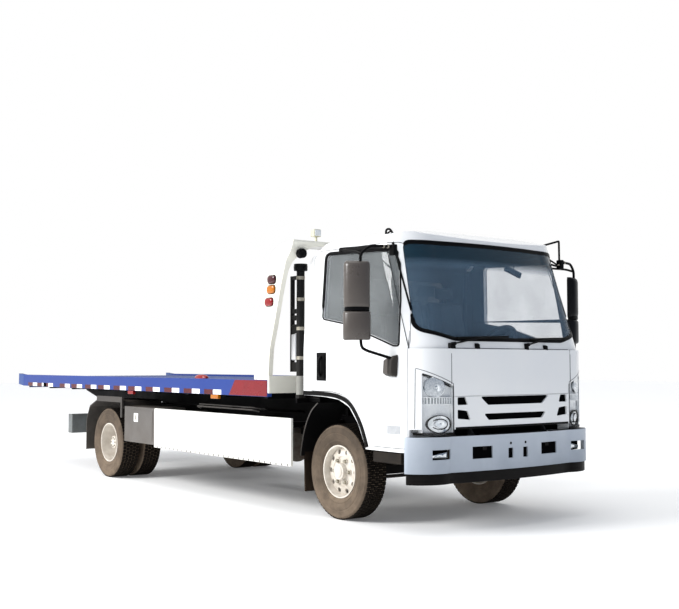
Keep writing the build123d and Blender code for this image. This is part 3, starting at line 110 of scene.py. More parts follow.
world = bpy.data.worlds.new("studio_sky")
bpy.context.scene.world = world
world.use_nodes = True
sky = world.node_tree
sky.nodes.clear()
where = add_node(sky, "ShaderNodeTexCoord")
split = add_node(sky, "ShaderNodeSeparateXYZ", links={0: where.outputs["Generated"]})
aside = add_node(sky, "ShaderNodeMapRange", {1: -0.25, 2: 0.75, 3: 0.0, 4: 1.0}, {0: split.outputs[0]})
tint = add_node(sky, "ShaderNodeMix", {"data_type": "RGBA", 6: linear("#ffffff"), 7: linear("#8d97a8")},
                {0: aside.outputs[0]})
light = add_node(sky, "ShaderNodeBackground", {"Strength": 1.0}, {"Color": tint.outputs[2]})
add_node(sky, "ShaderNodeOutputWorld", links={"Surface": light.outputs[0]})

floor_half = 60
floor_corners = [(x * floor_half, y * floor_half, 0) for x, y in ((-1, -1), (1, -1), (1, 1), (-1, 1))]
floor_mesh = bpy.data.meshes.new("studio_floor")
floor_mesh.from_pydata(floor_corners, [], [(0, 1, 2, 3)])
floor = bpy.data.objects.new("studio_floor", floor_mesh)
bpy.context.scene.collection.objects.link(floor)
floor_paint = bpy.data.materials.new("floor_matt_white")
floor_paint.use_nodes = True
floor_tree = floor_paint.node_tree
floor_shader = floor_tree.nodes["Principled BSDF"]
floor_shader.inputs["Roughness"].default_value = 0.85
floor_shader.inputs["Emission Color"].default_value = (1, 1, 1, 1)
floor_shader.inputs["Emission Strength"].default_value = 0.10
mottle = add_node(floor_tree, "ShaderNodeTexNoise", {"Scale": 0.6, "Detail": 4.0},
                  {"Vector": add_node(floor_tree, "ShaderNodeTexCoord").outputs["Object"]})
shade = add_node(floor_tree, "ShaderNodeMix",
                 {"data_type": "RGBA", 6: linear("#f8f8f7"), 7: linear("#fdfdfc")}, {0: mottle.outputs[0]})
floor_tree.links.new(shade.outputs[2], floor_shader.inputs["Base Color"])
floor_mesh.materials.append(floor_paint)
floor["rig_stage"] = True

for name, kind, place, aim, size, power in (("key", "AREA", (-1.5, -13.0, 8.5), (1.0, 0.0, 1.0), 7.0, 2200),
                                            ("overhead", "SUN", (0.0, 0.0, 9.0), (0.5, 1.5, 0.0), 0.6, 0.5)):
    lamp = bpy.data.lights.new(name, kind)
    if kind == "AREA":
        lamp.shape = "DISK"
        lamp.size = size
    else:
        lamp.angle = size
    lamp.energy = power
    lamp_object = bpy.data.objects.new(name, lamp)
    lamp_object.location = place
    lamp_object.rotation_euler = (Vector(aim) - Vector(place)).to_track_quat("-Z", "Y").to_euler()
    bpy.context.scene.collection.objects.link(lamp_object)

camera_place, camera_pitch, camera_yaw = (9.7041, -6.0860, 1.2972), 93.396, 52.738
sensor_mm, focal_mm, sight = 36, 53.59, 300
camera_body = bpy.data.cameras.new("studio_camera")
camera_body.sensor_fit = "HORIZONTAL"
camera_body.sensor_width = sensor_mm
camera_body.lens = focal_mm
camera_body.clip_end = sight
camera = bpy.data.objects.new("studio_camera", camera_body)
camera.location = camera_place
camera.rotation_euler = (math.radians(camera_pitch), 0, math.radians(camera_yaw))
bpy.context.scene.collection.objects.link(camera)
bpy.context.scene.camera = camera
bpy.context.scene.view_settings.view_transform = "Standard"

# ------------------------------------------------------------------ chassis and axles
# Pressed steel rails, axle beams, shaft and springs. They are dipped in black chassis
# enamel and carry a thin film of road dust, thickest low down and on what faces up.


def made_material(name, colour, worn, patch_mm, grain_mm, bump_mm, rough, metallic=0.0, coat=0.0,
                  dust_and_shade="#8f8373", dust_and_shade_share=0.0, dust_and_shade_top=1.0, shine=0.5):
    """A surface of two close colours in patches, with a fine grain in its height and gloss, and
    a film that thins out upwards to dust_and_shade_top metres: dusty on most surfaces, painted shade on the
    bumper. Shine is low on matt surfaces."""
    made = bpy.data.materials.new(name)
    made.use_nodes = True
    tree = made.node_tree
    shader = tree.nodes["Principled BSDF"]
    shader.inputs["Metallic"].default_value = metallic
    shader.inputs["Specular IOR Level"].default_value = shine
    shader.inputs["Coat Weight"].default_value = coat
    shader.inputs["Coat Roughness"].default_value = 0.04
    place = add_node(tree, "ShaderNodeTexCoord").outputs["Object"]
    patch = add_node(tree, "ShaderNodeTexNoise", {"Scale": 1000 / patch_mm, "Detail": 5.0, "Roughness": 0.6},
                     {"Vector": place})
    grain = add_node(tree, "ShaderNodeTexNoise", {"Scale": 1000 / grain_mm, "Detail": 3.0},
                     {"Vector": place})
    body = add_node(tree, "ShaderNodeMix", {"data_type": "RGBA", 6: linear(colour), 7: linear(worn)},
                    {0: add_node(tree, "ShaderNodeMapRange", {1: 0.35, 2: 0.7},
                                 {0: patch.outputs[0]}).outputs[0]})
    paint = body.outputs[2]
    gloss = add_node(tree, "ShaderNodeMapRange", {1: 0.3, 2: 0.7, 3: rough[0], 4: rough[1]},
                     {0: patch.outputs[0]}).outputs[0]
    if dust_and_shade_share:
        height = add_node(tree, "ShaderNodeSeparateXYZ", links={0: place}).outputs[2]
        low = add_node(tree, "ShaderNodeMapRange", {1: dust_and_shade_top, 2: 0.0}, {0: height}).outputs[0]
        facing = add_node(tree, "ShaderNodeSeparateXYZ",
                          links={0: add_node(tree, "ShaderNodeNewGeometry").outputs["Normal"]}).outputs[2]
        lying = add_node(tree, "ShaderNodeMapRange", {1: 0.2, 2: 1.0, 4: 0.6}, {0: facing}).outputs[0]
        both = add_node(tree, "ShaderNodeMath", {"operation": "ADD"}, {0: low, 1: lying}).outputs[0]
        film = add_node(tree, "ShaderNodeMath", {"operation": "MULTIPLY", "use_clamp": True},
                        {0: both, 1: patch.outputs[0]}).outputs[0]
        film = add_node(tree, "ShaderNodeMath",
                        {"operation": "MULTIPLY", "use_clamp": True, 1: 2 * dust_and_shade_share},
                        {0: film}).outputs[0]
        paint = add_node(tree, "ShaderNodeMix", {"data_type": "RGBA", 7: linear(dust_and_shade)},
                         {0: film, 6: paint}).outputs[2]
        gloss = add_node(tree, "ShaderNodeMix", {3: 0.9}, {0: film, 2: gloss}).outputs[0]
    tree.links.new(paint, shader.inputs["Base Color"])
    tree.links.new(gloss, shader.inputs["Roughness"])
    bump = add_node(tree, "ShaderNodeBump", {"Strength": 0.6, "Distance": bump_mm / 1000},
                    {"Height": grain.outputs[0]})
    tree.links.new(bump.outputs[0], shader.inputs["Normal"])
    return made


def paint_nodes(names, material):
    """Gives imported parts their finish; their shapes stay."""
    for name in names:
        nodes[name].data.materials.clear()
        nodes[name].data.materials.append(material)


def link_piece(name, mesh, material, body, crease=30):
    """Puts a finished mesh in the scene on its body."""
    piece = bpy.data.objects.new(name, mesh)
    bpy.context.scene.collection.objects.link(piece)
    mesh.materials.clear()
    for layer in (material if isinstance(material, (list, tuple)) else [material]):
        mesh.materials.append(layer)
    mesh.shade_smooth()
    mesh.set_sharp_from_angle(angle=math.radians(crease))
    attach(piece, body)
    return piece


def eased(piece, width, segments=2, crease=30):
    """Breaks a piece's sharp edges with a small round, as folded or moulded edges have."""
    bevel = piece.modifiers.new("eased_edges", "BEVEL")
    bevel.width = width
    bevel.segments = segments
    bevel.limit_method = "ANGLE"
    bevel.angle_limit = math.radians(crease)
    bevel.harden_normals = True
    bevel.use_clamp_overlap = True
    return piece


def joined(shell):
    """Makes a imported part's triangles one skin again, with its flat faces whole."""
    bmesh.ops.remove_doubles(shell, verts=shell.verts, dist=0.00002)
    bmesh.ops.dissolve_limit(shell, angle_limit=math.radians(1.0), verts=shell.verts, edges=shell.edges)


def softened(node, name, material, width, segments=2, crease=30, second=None, where=None):
    """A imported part's own shape with eased edges, standing for that part. The faces that
    where(centre, normal) picks, told from the front axle, get the second material."""
    mesh = nodes[node].data.copy()
    shell = bmesh.new()
    shell.from_mesh(mesh)
    joined(shell)
    shell.to_mesh(mesh)
    shell.free()
    mesh.name = name
    if "custom_normal" in mesh.attributes:
        mesh.attributes.remove(mesh.attributes["custom_normal"])
    body = nodes[node]["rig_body"]
    piece = link_piece(name, mesh, material, body, crease)
    if second:
        mesh.materials.append(second)
        for face in mesh.polygons:
            if where(face.center - Vector((axle_x, 0, 0)), face.normal):
                face.material_index = 1
    eased(piece, width, segments, crease)
    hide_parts(node)
    return piece


# Black chassis enamel: a sprayed alkyd that has gone half matt under the dust. The same black is painted
# shade on the side guards' inside faces and brackets, and under the deck
chassis_black_and_shade = made_material("black_chassis_enamel_and_painted_shade", "#050506", "#0b0a0b", 260, 9, 0.25, (0.45, 0.65),
                               dust_and_shade="#3f3933", dust_and_shade_share=0.14, dust_and_shade_top=0.8, shine=0.07)
# Cast iron: rough from its sand mould, oily in patches
cast_iron = made_material("cast_iron", "#2c2b2a", "#1e1c1b", 90, 4, 0.6, (0.55, 0.8), 0.35, dust_and_shade="#5a5249",
                          dust_and_shade_share=0.3, dust_and_shade_top=1.0, shine=0.25)
# Spring steel: black scale with rust starting where the leaves rub
spring_scale = made_material("spring_steel_scale", "#151312", "#291d17", 60, 3, 0.3, (0.6, 0.85), 0.2,
                             dust_and_shade="#5a5249", dust_and_shade_share=0.35, dust_and_shade_top=0.9, shine=0.25)
paint_nodes(["chassis_frame", "drive_shaft", "front_axle", "rear_axle", "cab_rest", "tilt_frame"],
            chassis_black_and_shade)
paint_nodes(["engine_block", "knuckle_left", "knuckle_right", "tie_rod"], cast_iron)
paint_nodes(["leaf_springs"], spring_scale)

# ------------------------------------------------------------------ wheels and tyres
# Ten-hole steel discs, rolled and stamped, welded into their rims and sprayed cream-white.
# The tyres are moulded rubber: ribbed sidewalls and five rows of tread blocks.


def add_lathe(shell, profile, centre, steps=96):
    """Turns closed (radius, outward y) corners about a wheel's axis at (x, y, z, side)."""
    x, y, z, side = centre
    rings = []
    for index in range(steps):
        angle = 2 * math.pi * index / steps
        rings.append([shell.verts.new((x + r * math.cos(angle), y + side * out, z + r * math.sin(angle)))
                      for r, out in profile])
    for index in range(steps):
        here, there = rings[index], rings[(index + 1) % steps]
        for corner in range(len(profile)):
            after = (corner + 1) % len(profile)
            ring = [here[corner], here[after], there[after], there[corner]]
            if (ring[0].co - ring[3].co).length + (ring[1].co - ring[2].co).length > 1e-9:
                shell.faces.new(ring)


def make_piece(name, shell, material, body, slot, width=0.0, segments=2, crease=30, stands_for=()):
    """Finishes a mesh that was drawn from the front axle: merged, facing outwards and in place."""
    bmesh.ops.remove_doubles(shell, verts=shell.verts, dist=0.00001)
    bmesh.ops.recalc_face_normals(shell, faces=shell.faces)
    bmesh.ops.translate(shell, verts=shell.verts, vec=(axle_x, 0, 0))
    mesh = bpy.data.meshes.new(name)
    shell.to_mesh(mesh)
    shell.free()
    piece = link_piece(name, mesh, material, body, crease)
    if width:
        eased(piece, width, segments, crease)
    if stands_for:
        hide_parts(*stands_for)
    return piece


def grown(name, group, inputs, material, body, crease=30):
    """Runs a Geometry Nodes tree with its inputs and keeps the result as a plain mesh piece."""
    seed = bpy.data.meshes.new(name + "_seed")
    holder = bpy.data.objects.new(name + "_seed", seed)
    bpy.context.scene.collection.objects.link(holder)
    modifier = holder.modifiers.new("grown", "NODES")
    modifier.node_group = group
    sockets = {s.name: s.identifier for s in group.interface.items_tree if s.in_out == "INPUT"}
    for key, value in {**inputs, "Material": material}.items():
        modifier[sockets[key]] = value
    mesh = bpy.data.meshes.new_from_object(holder.evaluated_get(bpy.context.evaluated_depsgraph_get()))
    mesh.name = name
    bpy.data.objects.remove(holder)
    mesh.transform(Matrix.Translation((axle_x, 0, 0)))
    return link_piece(name, mesh, material, body, crease)


def new_group(name, inputs):
    """An empty Geometry Nodes tree with named inputs; returns it with its two end nodes."""
    group = bpy.data.node_groups.new(name, "GeometryNodeTree")
    for label, kind, value in inputs + [("Material", "NodeSocketMaterial", None)]:
        socket = group.interface.new_socket(label, in_out="INPUT", socket_type=kind)
        if value is not None:
            socket.default_value = value
    group.interface.new_socket("Geometry", in_out="OUTPUT", socket_type="NodeSocketGeometry")
    return group, add_node(group, "NodeGroupInput"), add_node(group, "NodeGroupOutput")


def end_group(group, start, end, shape):
    """Turns instances real, gives them their material and closes the tree."""
    real = add_node(group, "GeometryNodeRealizeInstances", links={0: shape})
    dressed = add_node(group, "GeometryNodeSetMaterial",
                       links={0: real.outputs[0], 2: start.outputs["Material"]})
    group.links.new(dressed.outputs[0], end.inputs[0])


# Tread blocks: rows of blocks side by side round the tyre, each row turned half a block on
tread, t_in, t_out = new_group("tread_blocks", [
    ("Blocks", "NodeSocketInt", 60), ("Rows", "NodeSocketInt", 5), ("Radius", "NodeSocketFloat", 0.39),
    ("Row pitch", "NodeSocketFloat", 0.04), ("Block", "NodeSocketVector", (0.01, 0.03, 0.03)),
    ("Place", "NodeSocketVector", (0, 0, 0))])
ring = add_node(tread, "GeometryNodeMeshCircle",
                links={"Vertices": t_in.outputs["Blocks"], "Radius": t_in.outputs["Radius"]})
row_step = add_node(tread, "ShaderNodeCombineXYZ", links={2: t_in.outputs["Row pitch"]})
rows = add_node(tread, "GeometryNodeMeshLine",
                links={"Count": t_in.outputs["Rows"], "Offset": row_step.outputs[0]})
half = add_node(tread, "ShaderNodeMath", {"operation": "DIVIDE", 0: math.pi}, {1: t_in.outputs["Blocks"]})
odd = add_node(tread, "ShaderNodeMath", {"operation": "MULTIPLY"},
               {0: add_node(tread, "GeometryNodeInputIndex").outputs[0], 1: half.outputs[0]})
turn = add_node(tread, "ShaderNodeCombineXYZ", links={2: odd.outputs[0]})
hoops = add_node(tread, "GeometryNodeInstanceOnPoints",
                 links={"Points": rows.outputs[0], "Instance": ring.outputs[0], "Rotation": turn.outputs[0]})
spots = add_node(tread, "GeometryNodeRealizeInstances", links={0: hoops.outputs[0]})
outward = add_node(tread, "ShaderNodeVectorMath", {"operation": "MULTIPLY", 1: (1, 1, 0)},
                   {0: add_node(tread, "GeometryNodeInputPosition").outputs[0]})
facing = add_node(tread, "FunctionNodeAlignEulerToVector", {"axis": "X", "pivot_axis": "Z"},
                  {"Vector": outward.outputs[0]})
block = add_node(tread, "GeometryNodeMeshCube", links={"Size": t_in.outputs["Block"]})
blocks = add_node(tread, "GeometryNodeInstanceOnPoints", links={
    "Points": spots.outputs[0], "Instance": block.outputs[0], "Rotation": facing.outputs[0]})
solid = add_node(tread, "GeometryNodeRealizeInstances", links={0: blocks.outputs[0]})
stood = add_node(tread, "GeometryNodeTransform", {"Rotation": (math.pi / 2, 0, 0)},
                 {0: solid.outputs[0], "Translation": t_in.outputs["Place"]})
end_group(tread, t_in, t_out, stood.outputs[0])

# Nuts or studs in a ring that faces along Y
studs, s_in, s_out = new_group("ring_of_nuts", [
    ("Count", "NodeSocketInt", 6), ("Circle", "NodeSocketFloat", 0.1), ("Radius", "NodeSocketFloat", 0.016),
    ("Height", "NodeSocketFloat", 0.02), ("Place", "NodeSocketVector", (0, 0, 0)),
    ("Sides", "NodeSocketInt", 6)])
stud_ring = add_node(studs, "GeometryNodeMeshCircle",
                     links={"Vertices": s_in.outputs["Count"], "Radius": s_in.outputs["Circle"]})
nut = add_node(studs, "GeometryNodeMeshCylinder", links={
    "Vertices": s_in.outputs["Sides"], "Radius": s_in.outputs["Radius"], "Depth": s_in.outputs["Height"]})
nuts = add_node(studs, "GeometryNodeInstanceOnPoints",
                links={"Points": stud_ring.outputs[0], "Instance": nut.outputs[0]})
stood = add_node(studs, "GeometryNodeTransform", {"Rotation": (math.pi / 2, 0, 0)},
                 {0: nuts.outputs[0], "Translation": s_in.outputs["Place"]})
end_group(studs, s_in, s_out, stood.outputs[0])

# Tyre rubber: carbon black compound gone grey-brown with dried road dust on the sidewalls
tyre_rubber = made_material("dusty_tyre_rubber", "#2f2822", "#40372f", 120, 5, 0.35, (0.72, 0.9),
                            dust_and_shade="#847463", dust_and_shade_share=0.66, dust_and_shade_top=1.1, shine=0.2)
# Tread rubber: nearly black, partly its own colour under little dust and partly painted shade on the tread
tread_rubber_and_shade = made_material("worn_tread_rubber_and_painted_shade", "#0a0908", "#12100e", 70, 4, 0.3, (0.8, 0.95),
                             dust_and_shade="#4a4037", dust_and_shade_share=0.16, dust_and_shade_top=0.9, shine=0.05)
# Rim enamel: cream-white stoving enamel over stamped steel, dusty in the dish
rim_enamel = made_material("cream_rim_enamel", "#e2dcd2", "#cfc7ba", 80, 6, 0.08, (0.3, 0.5), dust_and_shade="#8b7d6f",
                           dust_and_shade_share=0.3, dust_and_shade_top=0.9)
# Wheel nuts: zinc-plated steel, dulled and slightly yellow
zinc_plate = made_material("dull_zinc_plate", "#b9b4a8", "#8d8778", 18, 2, 0.05, (0.35, 0.6), 0.85,
                           dust_and_shade_share=0.2)

# One half of the tyre's section, bead to tread, as (radius, distance from its middle plane)
tyre_radius = 0.3985
half_tyre = [
    (0.2222, 0.084), (0.236, 0.097), (0.252, 0.1035), (0.256, 0.1065), (0.262, 0.1065), (0.266, 0.105),
    (0.298, 0.1168), (0.318, 0.1170), (0.320, 0.1150), (0.330, 0.1148), (0.333, 0.1166), (0.352, 0.1130),
    (0.366, 0.1095), (0.372, 0.1100), (0.383, 0.1020), (0.389, 0.094), (0.3895, 0.040),
]
tyre_profile = [(radius, -out) for radius, out in half_tyre] + half_tyre[::-1]
hub_profile = [(0.0, 0.056), (0.072, 0.056), (0.072, 0.086), (0.066, 0.0995), (0.05, 0.1015), (0.048, 0.107),
               (0.03, 0.1125), (0.0, 0.1135)]
wheelbase = 4.175
front_centre, rear_outer, rear_inner = 0.8105, 0.9825, 0.7125
wheel_rows = [("front_wheel_", "front_tyre_", 0.0, [front_centre]),
              ("rear_wheels_", "rear_tyres_", -wheelbase, [rear_outer, rear_inner])]
# Rings of nuts: name, count, circle, radius, height, place along and across, sides, finish
nut_rings = [("front_nuts_", 6, 0.1, 0.0165, 0.03, 0, front_centre + 0.068, 6, zinc_plate),
             ("front_nut_washers_", 6, 0.1, 0.021, 0.012, 0, front_centre + 0.058, 20, rim_enamel),
             ("rear_nuts_", 6, 0.128, 0.017, 0.05, -wheelbase, rear_outer - 0.105, 6, zinc_plate),
             ("rear_hub_studs_", 8, 0.052, 0.008, 0.014, -wheelbase, rear_outer + 0.045, 6, zinc_plate)]
sides = (("left", 1), ("right", -1))
for side_name, side in sides:
    for wheel_body, tyre_node, x, centres in wheel_rows:
        body, node = wheel_body + side_name, tyre_node + side_name
        casing = bmesh.new()
        for y in centres:
            add_lathe(casing, tyre_profile, (x, side * y, tyre_radius, side), 120)
        make_piece(node + "_casing", casing, tyre_rubber, body, "tyre_rubber", crease=40, stands_for=[node])
        for number, y in enumerate(centres):
            rows = grown(f"{node}_tread_{number}", tread, {
                "Blocks": 64, "Rows": 5, "Radius": 0.3925, "Row pitch": 0.0395,
                "Block": (0.0118, 0.0315, 0.033), "Place": (x, side * y + 0.079, tyre_radius)},
                tread_rubber_and_shade, body)
            eased(rows, 0.0015, 1)
    hub = bmesh.new()
    add_lathe(hub, hub_profile, (0, side * front_centre, tyre_radius, side), 48)
    make_piece("front_hub_" + side_name, hub, rim_enamel, "front_wheel_" + side_name, "rim_cream", 0.002)
    for name, count, circle, radius, height, x, across, corners, finish in nut_rings:
        grown(name + side_name, studs, {
            "Count": count, "Circle": circle, "Radius": radius, "Height": height, "Sides": corners,
            "Place": (x, side * across, tyre_radius)}, finish,
            ("rear_wheels_" if x else "front_wheel_") + side_name)
    for node in ("front_rim_" + side_name, "rear_rims_" + side_name):
        softened(node, node + "_disc", rim_enamel, 0.0025, 2, 35)

# ------------------------------------------------------------------ cab shell, bonnet panel and doors
# Spot-welded steel pressings sprayed white, with rounded flanges at every opening, and a
# few millimetres of gap round the doors and the bonnet panel.
# White two-coat enamel: bright pigment under clear lacquer, so reflections stay sharp
cab_enamel = made_material("white_cab_enamel", "#eceded", "#e6e8ea", 900, 30, 0.015, (0.14, 0.22), coat=0.5,
                           dust_and_shade_share=0.05, dust_and_shade_top=1.0)
# Inside faces: dark vinyl and painted steel, lit only through the panes. On the shell's low engine-bay
# faces, where its white tilt lugs stand, and on its faces that look down below 1.2 m, the same dark colour
# is painted shade
cab_lining_and_shade = made_material("dark_cab_lining_and_painted_shade", "#17181b", "#1f2023", 300, 4, 0.1, (0.6, 0.8), shine=0.2)
# Black moulding rubber and plastic: carbon-filled, satin, slightly greyed on top. The same black is painted
# shade in the bumper's recesses and at the foot of the upper mirror heads
black_trim_and_shade = made_material("satin_black_trim_and_painted_shade", "#040405", "#09090b", 150, 3, 0.12, (0.35, 0.5),
                           dust_and_shade_share=0.02, dust_and_shade_top=1.6, shine=0.07)
# Black mesh and inserts deep in an opening: matt and blacker than the plastic, as painted shade, so that
# they read as a hole
black_mesh_and_shade = made_material("matt_black_mesh_and_painted_shade", "#020203", "#050506", 80, 2, 0.2, (0.8, 0.95), shine=0.02)
cab_middle = Vector((0.15, 0.0, 1.62))
cab_half, wall = 1.0, 0.02
cab_floor, engine_bay_top, engine_bay_half = 1.05, 0.80, 0.5
# The shell's inward faces take the dark lining; its engine-bay faces below 0.8 m and its down-facing faces
# below 1.2 m take it as painted shade
softened("cab_shell", "cab_body", cab_enamel, 0.006, 3, 32, cab_lining_and_shade,
         lambda c, n: n.dot(cab_middle - c) > 0 and abs(c.y) < cab_half - wall and c.z > cab_floor
         or c.z < engine_bay_top and abs(c.y) < engine_bay_half or n.z < -0.5 and c.z < 1.2)
softened("front_panel", "bonnet_panel", cab_enamel, 0.005, 3, 32)
softened("grille", "grille_bars", cab_enamel, 0.005, 3, 32)
for side_name in ("left", "right"):
    softened("door_" + side_name, "door_skin_" + side_name, cab_enamel, 0.004, 2, 32, cab_lining_and_shade,
             lambda c, n: n.y * c.y < -0.3 * abs(c.y) and abs(c.y) < cab_half - wall)


def add_block(shell, low, high, yaw=0.0, about=None):
    """A block between two corners, turned by yaw degrees about its middle or another place."""
    spot = [(low[i] + high[i]) / 2 for i in range(3)]
    size = [abs(high[i] - low[i]) for i in range(3)]
    made = bmesh.ops.create_cube(shell, size=1.0)["verts"]
    bmesh.ops.scale(shell, vec=size, verts=made)
    bmesh.ops.translate(shell, vec=spot, verts=made)
    if yaw:
        centre = Vector(about or spot)
        bmesh.ops.rotate(shell, cent=centre, matrix=Matrix.Rotation(math.radians(yaw), 3, "Z"), verts=made)
    return made


def add_band(shell, rows, section, closed=True):
    """A closed strip along rows of (place, across, up) with (across, up) section corners."""
    rings = []
    for place, aside_way, up_way in rows:
        rings.append([shell.verts.new(place + aside_way * w + up_way * h) for w, h in section])
    count = len(rings)
    for index in range(count if closed else count - 1):
        here, there = rings[index], rings[(index + 1) % count]
        for corner in range(len(section)):
            after = (corner + 1) % len(section)
            shell.faces.new((here[corner], here[after], there[after], there[corner]))
    if not closed:
        shell.faces.new(rings[0][::-1])
        shell.faces.new(rings[-1])


def add_tube(shell, points, radius, corners, bend=0.0, steps=6):
    """A round rod or pipe through points, with its turns rounded by bend metres if it is given."""
    path = [Vector(p) for p in points]
    if bend:
        rounded = [path[0]]
        for before, corner, after in zip(path, path[1:], path[2:]):
            start = corner + (before - corner).normalized() * min(bend, (before - corner).length * 0.49)
            finish = corner + (after - corner).normalized() * min(bend, (after - corner).length * 0.49)
            for step in range(steps + 1):
                t = step / steps
                rounded.append(start * (1 - t) ** 2 + corner * 2 * t * (1 - t) + finish * t ** 2)
        path = rounded + [path[-1]]
    runs = [(b - a).normalized() for a, b in zip(path, path[1:])]
    up = runs[0].orthogonal().normalized()
    rings = []
    for index, place in enumerate(path):
        run = (runs[max(index - 1, 0)] + runs[min(index, len(runs) - 1)]).normalized()
        up = (up - run * up.dot(run)).normalized()
        across_way = run.cross(up)
        rings.append([shell.verts.new(place + (up * math.cos(a) + across_way * math.sin(a)) * radius)
                      for a in (2 * math.pi * k / corners for k in range(corners))])
    for here, there in zip(rings, rings[1:]):
        for k in range(corners):
            shell.faces.new((here[k], here[(k + 1) % corners], there[(k + 1) % corners], there[k]))
    shell.faces.new(rings[0][::-1])
    shell.faces.new(rings[-1])


def rounded_outline(corners, steps=8):
    """Points of a closed outline from (u, v, radius) corners."""
    points = []
    count = len(corners)
    for index, (u, v, radius) in enumerate(corners):
        here = Vector((u, v))
        before = Vector(corners[index - 1][:2]) - here
        after = Vector(corners[(index + 1) % count][:2]) - here
        if not radius:
            points.append(here)
            continue
        half = before.angle(after) / 2
        cut = min(radius / math.tan(half), before.length * 0.49, after.length * 0.49)
        start, finish = here + before.normalized() * cut, here + after.normalized() * cut
        for step in range(steps + 1):
            t = step / steps
            points.append(start * (1 - t) ** 2 + here * 2 * t * (1 - t) + finish * t ** 2)
    return points


def even_points(points, pitch):
    """The same closed outline with points every pitch metres at most."""
    spread = []
    for here, there in zip(points, points[1:] + points[:1]):
        pieces = max(1, math.ceil((there - here).length / pitch))
        spread += [here + (there - here) * (k / pieces) for k in range(pieces)]
    return spread


def laid_on(tree, start, way):
    """Where a ray from start lands on a surface, or the nearest place where it lands nowhere."""
    hit, normal, _, _ = tree.ray_cast(Vector(start), Vector(way))
    if hit is None:
        hit, normal, _, _ = tree.find_nearest(Vector(start))
    return hit, normal


clear_of_cab = 3.0                # rays start this far out, beyond the whole cab


def surface_rows(tree, points, way, outside=0.004):
    """Lays (u, v) points on a surface by rays along way; u and v are the two other axes. The
    points go outside metres out of the outline, so that no ray falls in its gap."""
    rows = []
    axis = [abs(c) > 0.5 for c in way].index(True)
    free = [i for i in range(3) if i != axis]
    area = sum(a.cross(b) for a, b in zip(points, points[1:] + points[:1]))
    for index, point in enumerate(points):
        run = (points[(index + 1) % len(points)] - points[index - 1]).normalized()
        out = Vector((run.y, -run.x)) * math.copysign(outside, area)
        start = [0.0, 0.0, 0.0]
        start[free[0]], start[free[1]] = point + out
        start[axis] = -way[axis] * clear_of_cab
        rows.append(laid_on(tree, start, way))
    laid = []
    for index, (place, normal) in enumerate(rows):
        run = (rows[(index + 1) % len(rows)][0] - rows[index - 1][0]).normalized()
        laid.append((place, run.cross(normal).normalized(), normal))
    return laid


def tree_of(*names):
    """A ray-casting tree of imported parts, drawn from the front axle."""
    shell = bmesh.new()
    for name in names:
        shell.from_mesh(nodes[name].data)
    bmesh.ops.translate(shell, verts=shell.verts, vec=(-axle_x, 0, 0))
    tree = BVHTree.FromBMesh(shell)
    shell.free()
    return tree


seal_section = [(-0.024, -0.012), (-0.024, -0.001), (-0.016, 0.004), (0.002, 0.006), (0.009, 0.003),
                (0.010, -0.003)]

# Windscreen rubber: a wide black gasket over the joint of glass and shell
half_screen = [(0.62, 1.492, 0.25), (0.919, 1.568, 0.08), (0.866, 2.272, 0.06)]
outline = even_points(rounded_outline(half_screen + [(-y, z, r) for y, z, r in half_screen[::-1]]), 0.04)
front_tree = tree_of("windscreen", "cab_shell", "front_panel")
gasket = bmesh.new()
add_band(gasket, surface_rows(front_tree, outline, (-1, 0, 0)), seal_section)
make_piece("windscreen_gasket", gasket, black_trim_and_shade, "cab", "black_plastic", crease=50)

# Door window rubbers: black channels that the panes drop into, thin along the foot
window_outline = [(-0.11, 1.69, 0.03), (-0.092, 2.228, 0.045), (0.738, 2.196, 0.05), (0.79, 2.09, 0.03),
                  (0.84, 1.80, 0.1), (0.872, 1.45, 0.012), (0.828, 1.45, 0.012), (0.205, 1.64, 0.06)]
channel_section = [(-0.005, -0.004), (-0.005, 0.003), (0.0, 0.006), (0.022, 0.006), (0.026, 0.002),
                   (0.026, -0.004)]
thin_share = 0.42
for side_name, side in sides:
    side_tree = tree_of("door_" + side_name, "door_glass_" + side_name)
    points = even_points(rounded_outline(window_outline), 0.04)
    channel = bmesh.new()
    rows = []
    for place, across_way, up_way in surface_rows(side_tree, points, (0, -side, 0)):
        along_foot = place.z < 1.76 - 0.31 * place.x or place.x > 0.76
        rows.append((place, across_way * side * (thin_share if along_foot else 1.0), up_way))
    add_band(channel, rows, channel_section)
    make_piece("window_channel_" + side_name, channel, black_trim_and_shade, "door_" + side_name, "black_plastic",
               crease=50)

# ------------------------------------------------------------------ cab trim
# Black moulded trim clipped to the shell: the wheel-arch mouldings, door handles, slits in
# the screen pillars, and the black inserts behind the grille bars and the bumper's intake.


beside_cab = 1.2                  # rays at a cab's side start here, just beyond it


def laid_strip(tree, points, side, width, proud, sunk):
    """A flat strip along (x, z) points of a cab side, as rows of (place, across, outward)."""
    rows = []
    for index, (x, z) in enumerate(points):
        hit, normal = laid_on(tree, (x, side * beside_cab, z), (0, -side, 0))
        before, after = points[max(index - 1, 0)], points[min(index + 1, len(points) - 1)]
        run = Vector((after[0] - before[0], 0, after[1] - before[1])).normalized()
        rows.append((hit, run.cross(normal).normalized(), normal))
    half = width / 2
    section = [(-half, -sunk), (-half, proud * 0.6), (-half * 0.8, proud), (half * 0.8, proud),
               (half, proud * 0.6), (half, -sunk)]
    return rows, section


def add_loft(shell, rings):
    """A closed skin over rings of equal length, capped at both ends."""
    made = [[shell.verts.new(p) for p in ring] for ring in rings]
    count = len(made[0])
    for here, there in zip(made, made[1:]):
        for k in range(count):
            shell.faces.new((here[k], here[(k + 1) % count], there[(k + 1) % count], there[k]))
    shell.faces.new(made[0][::-1])
    shell.faces.new(made[-1])


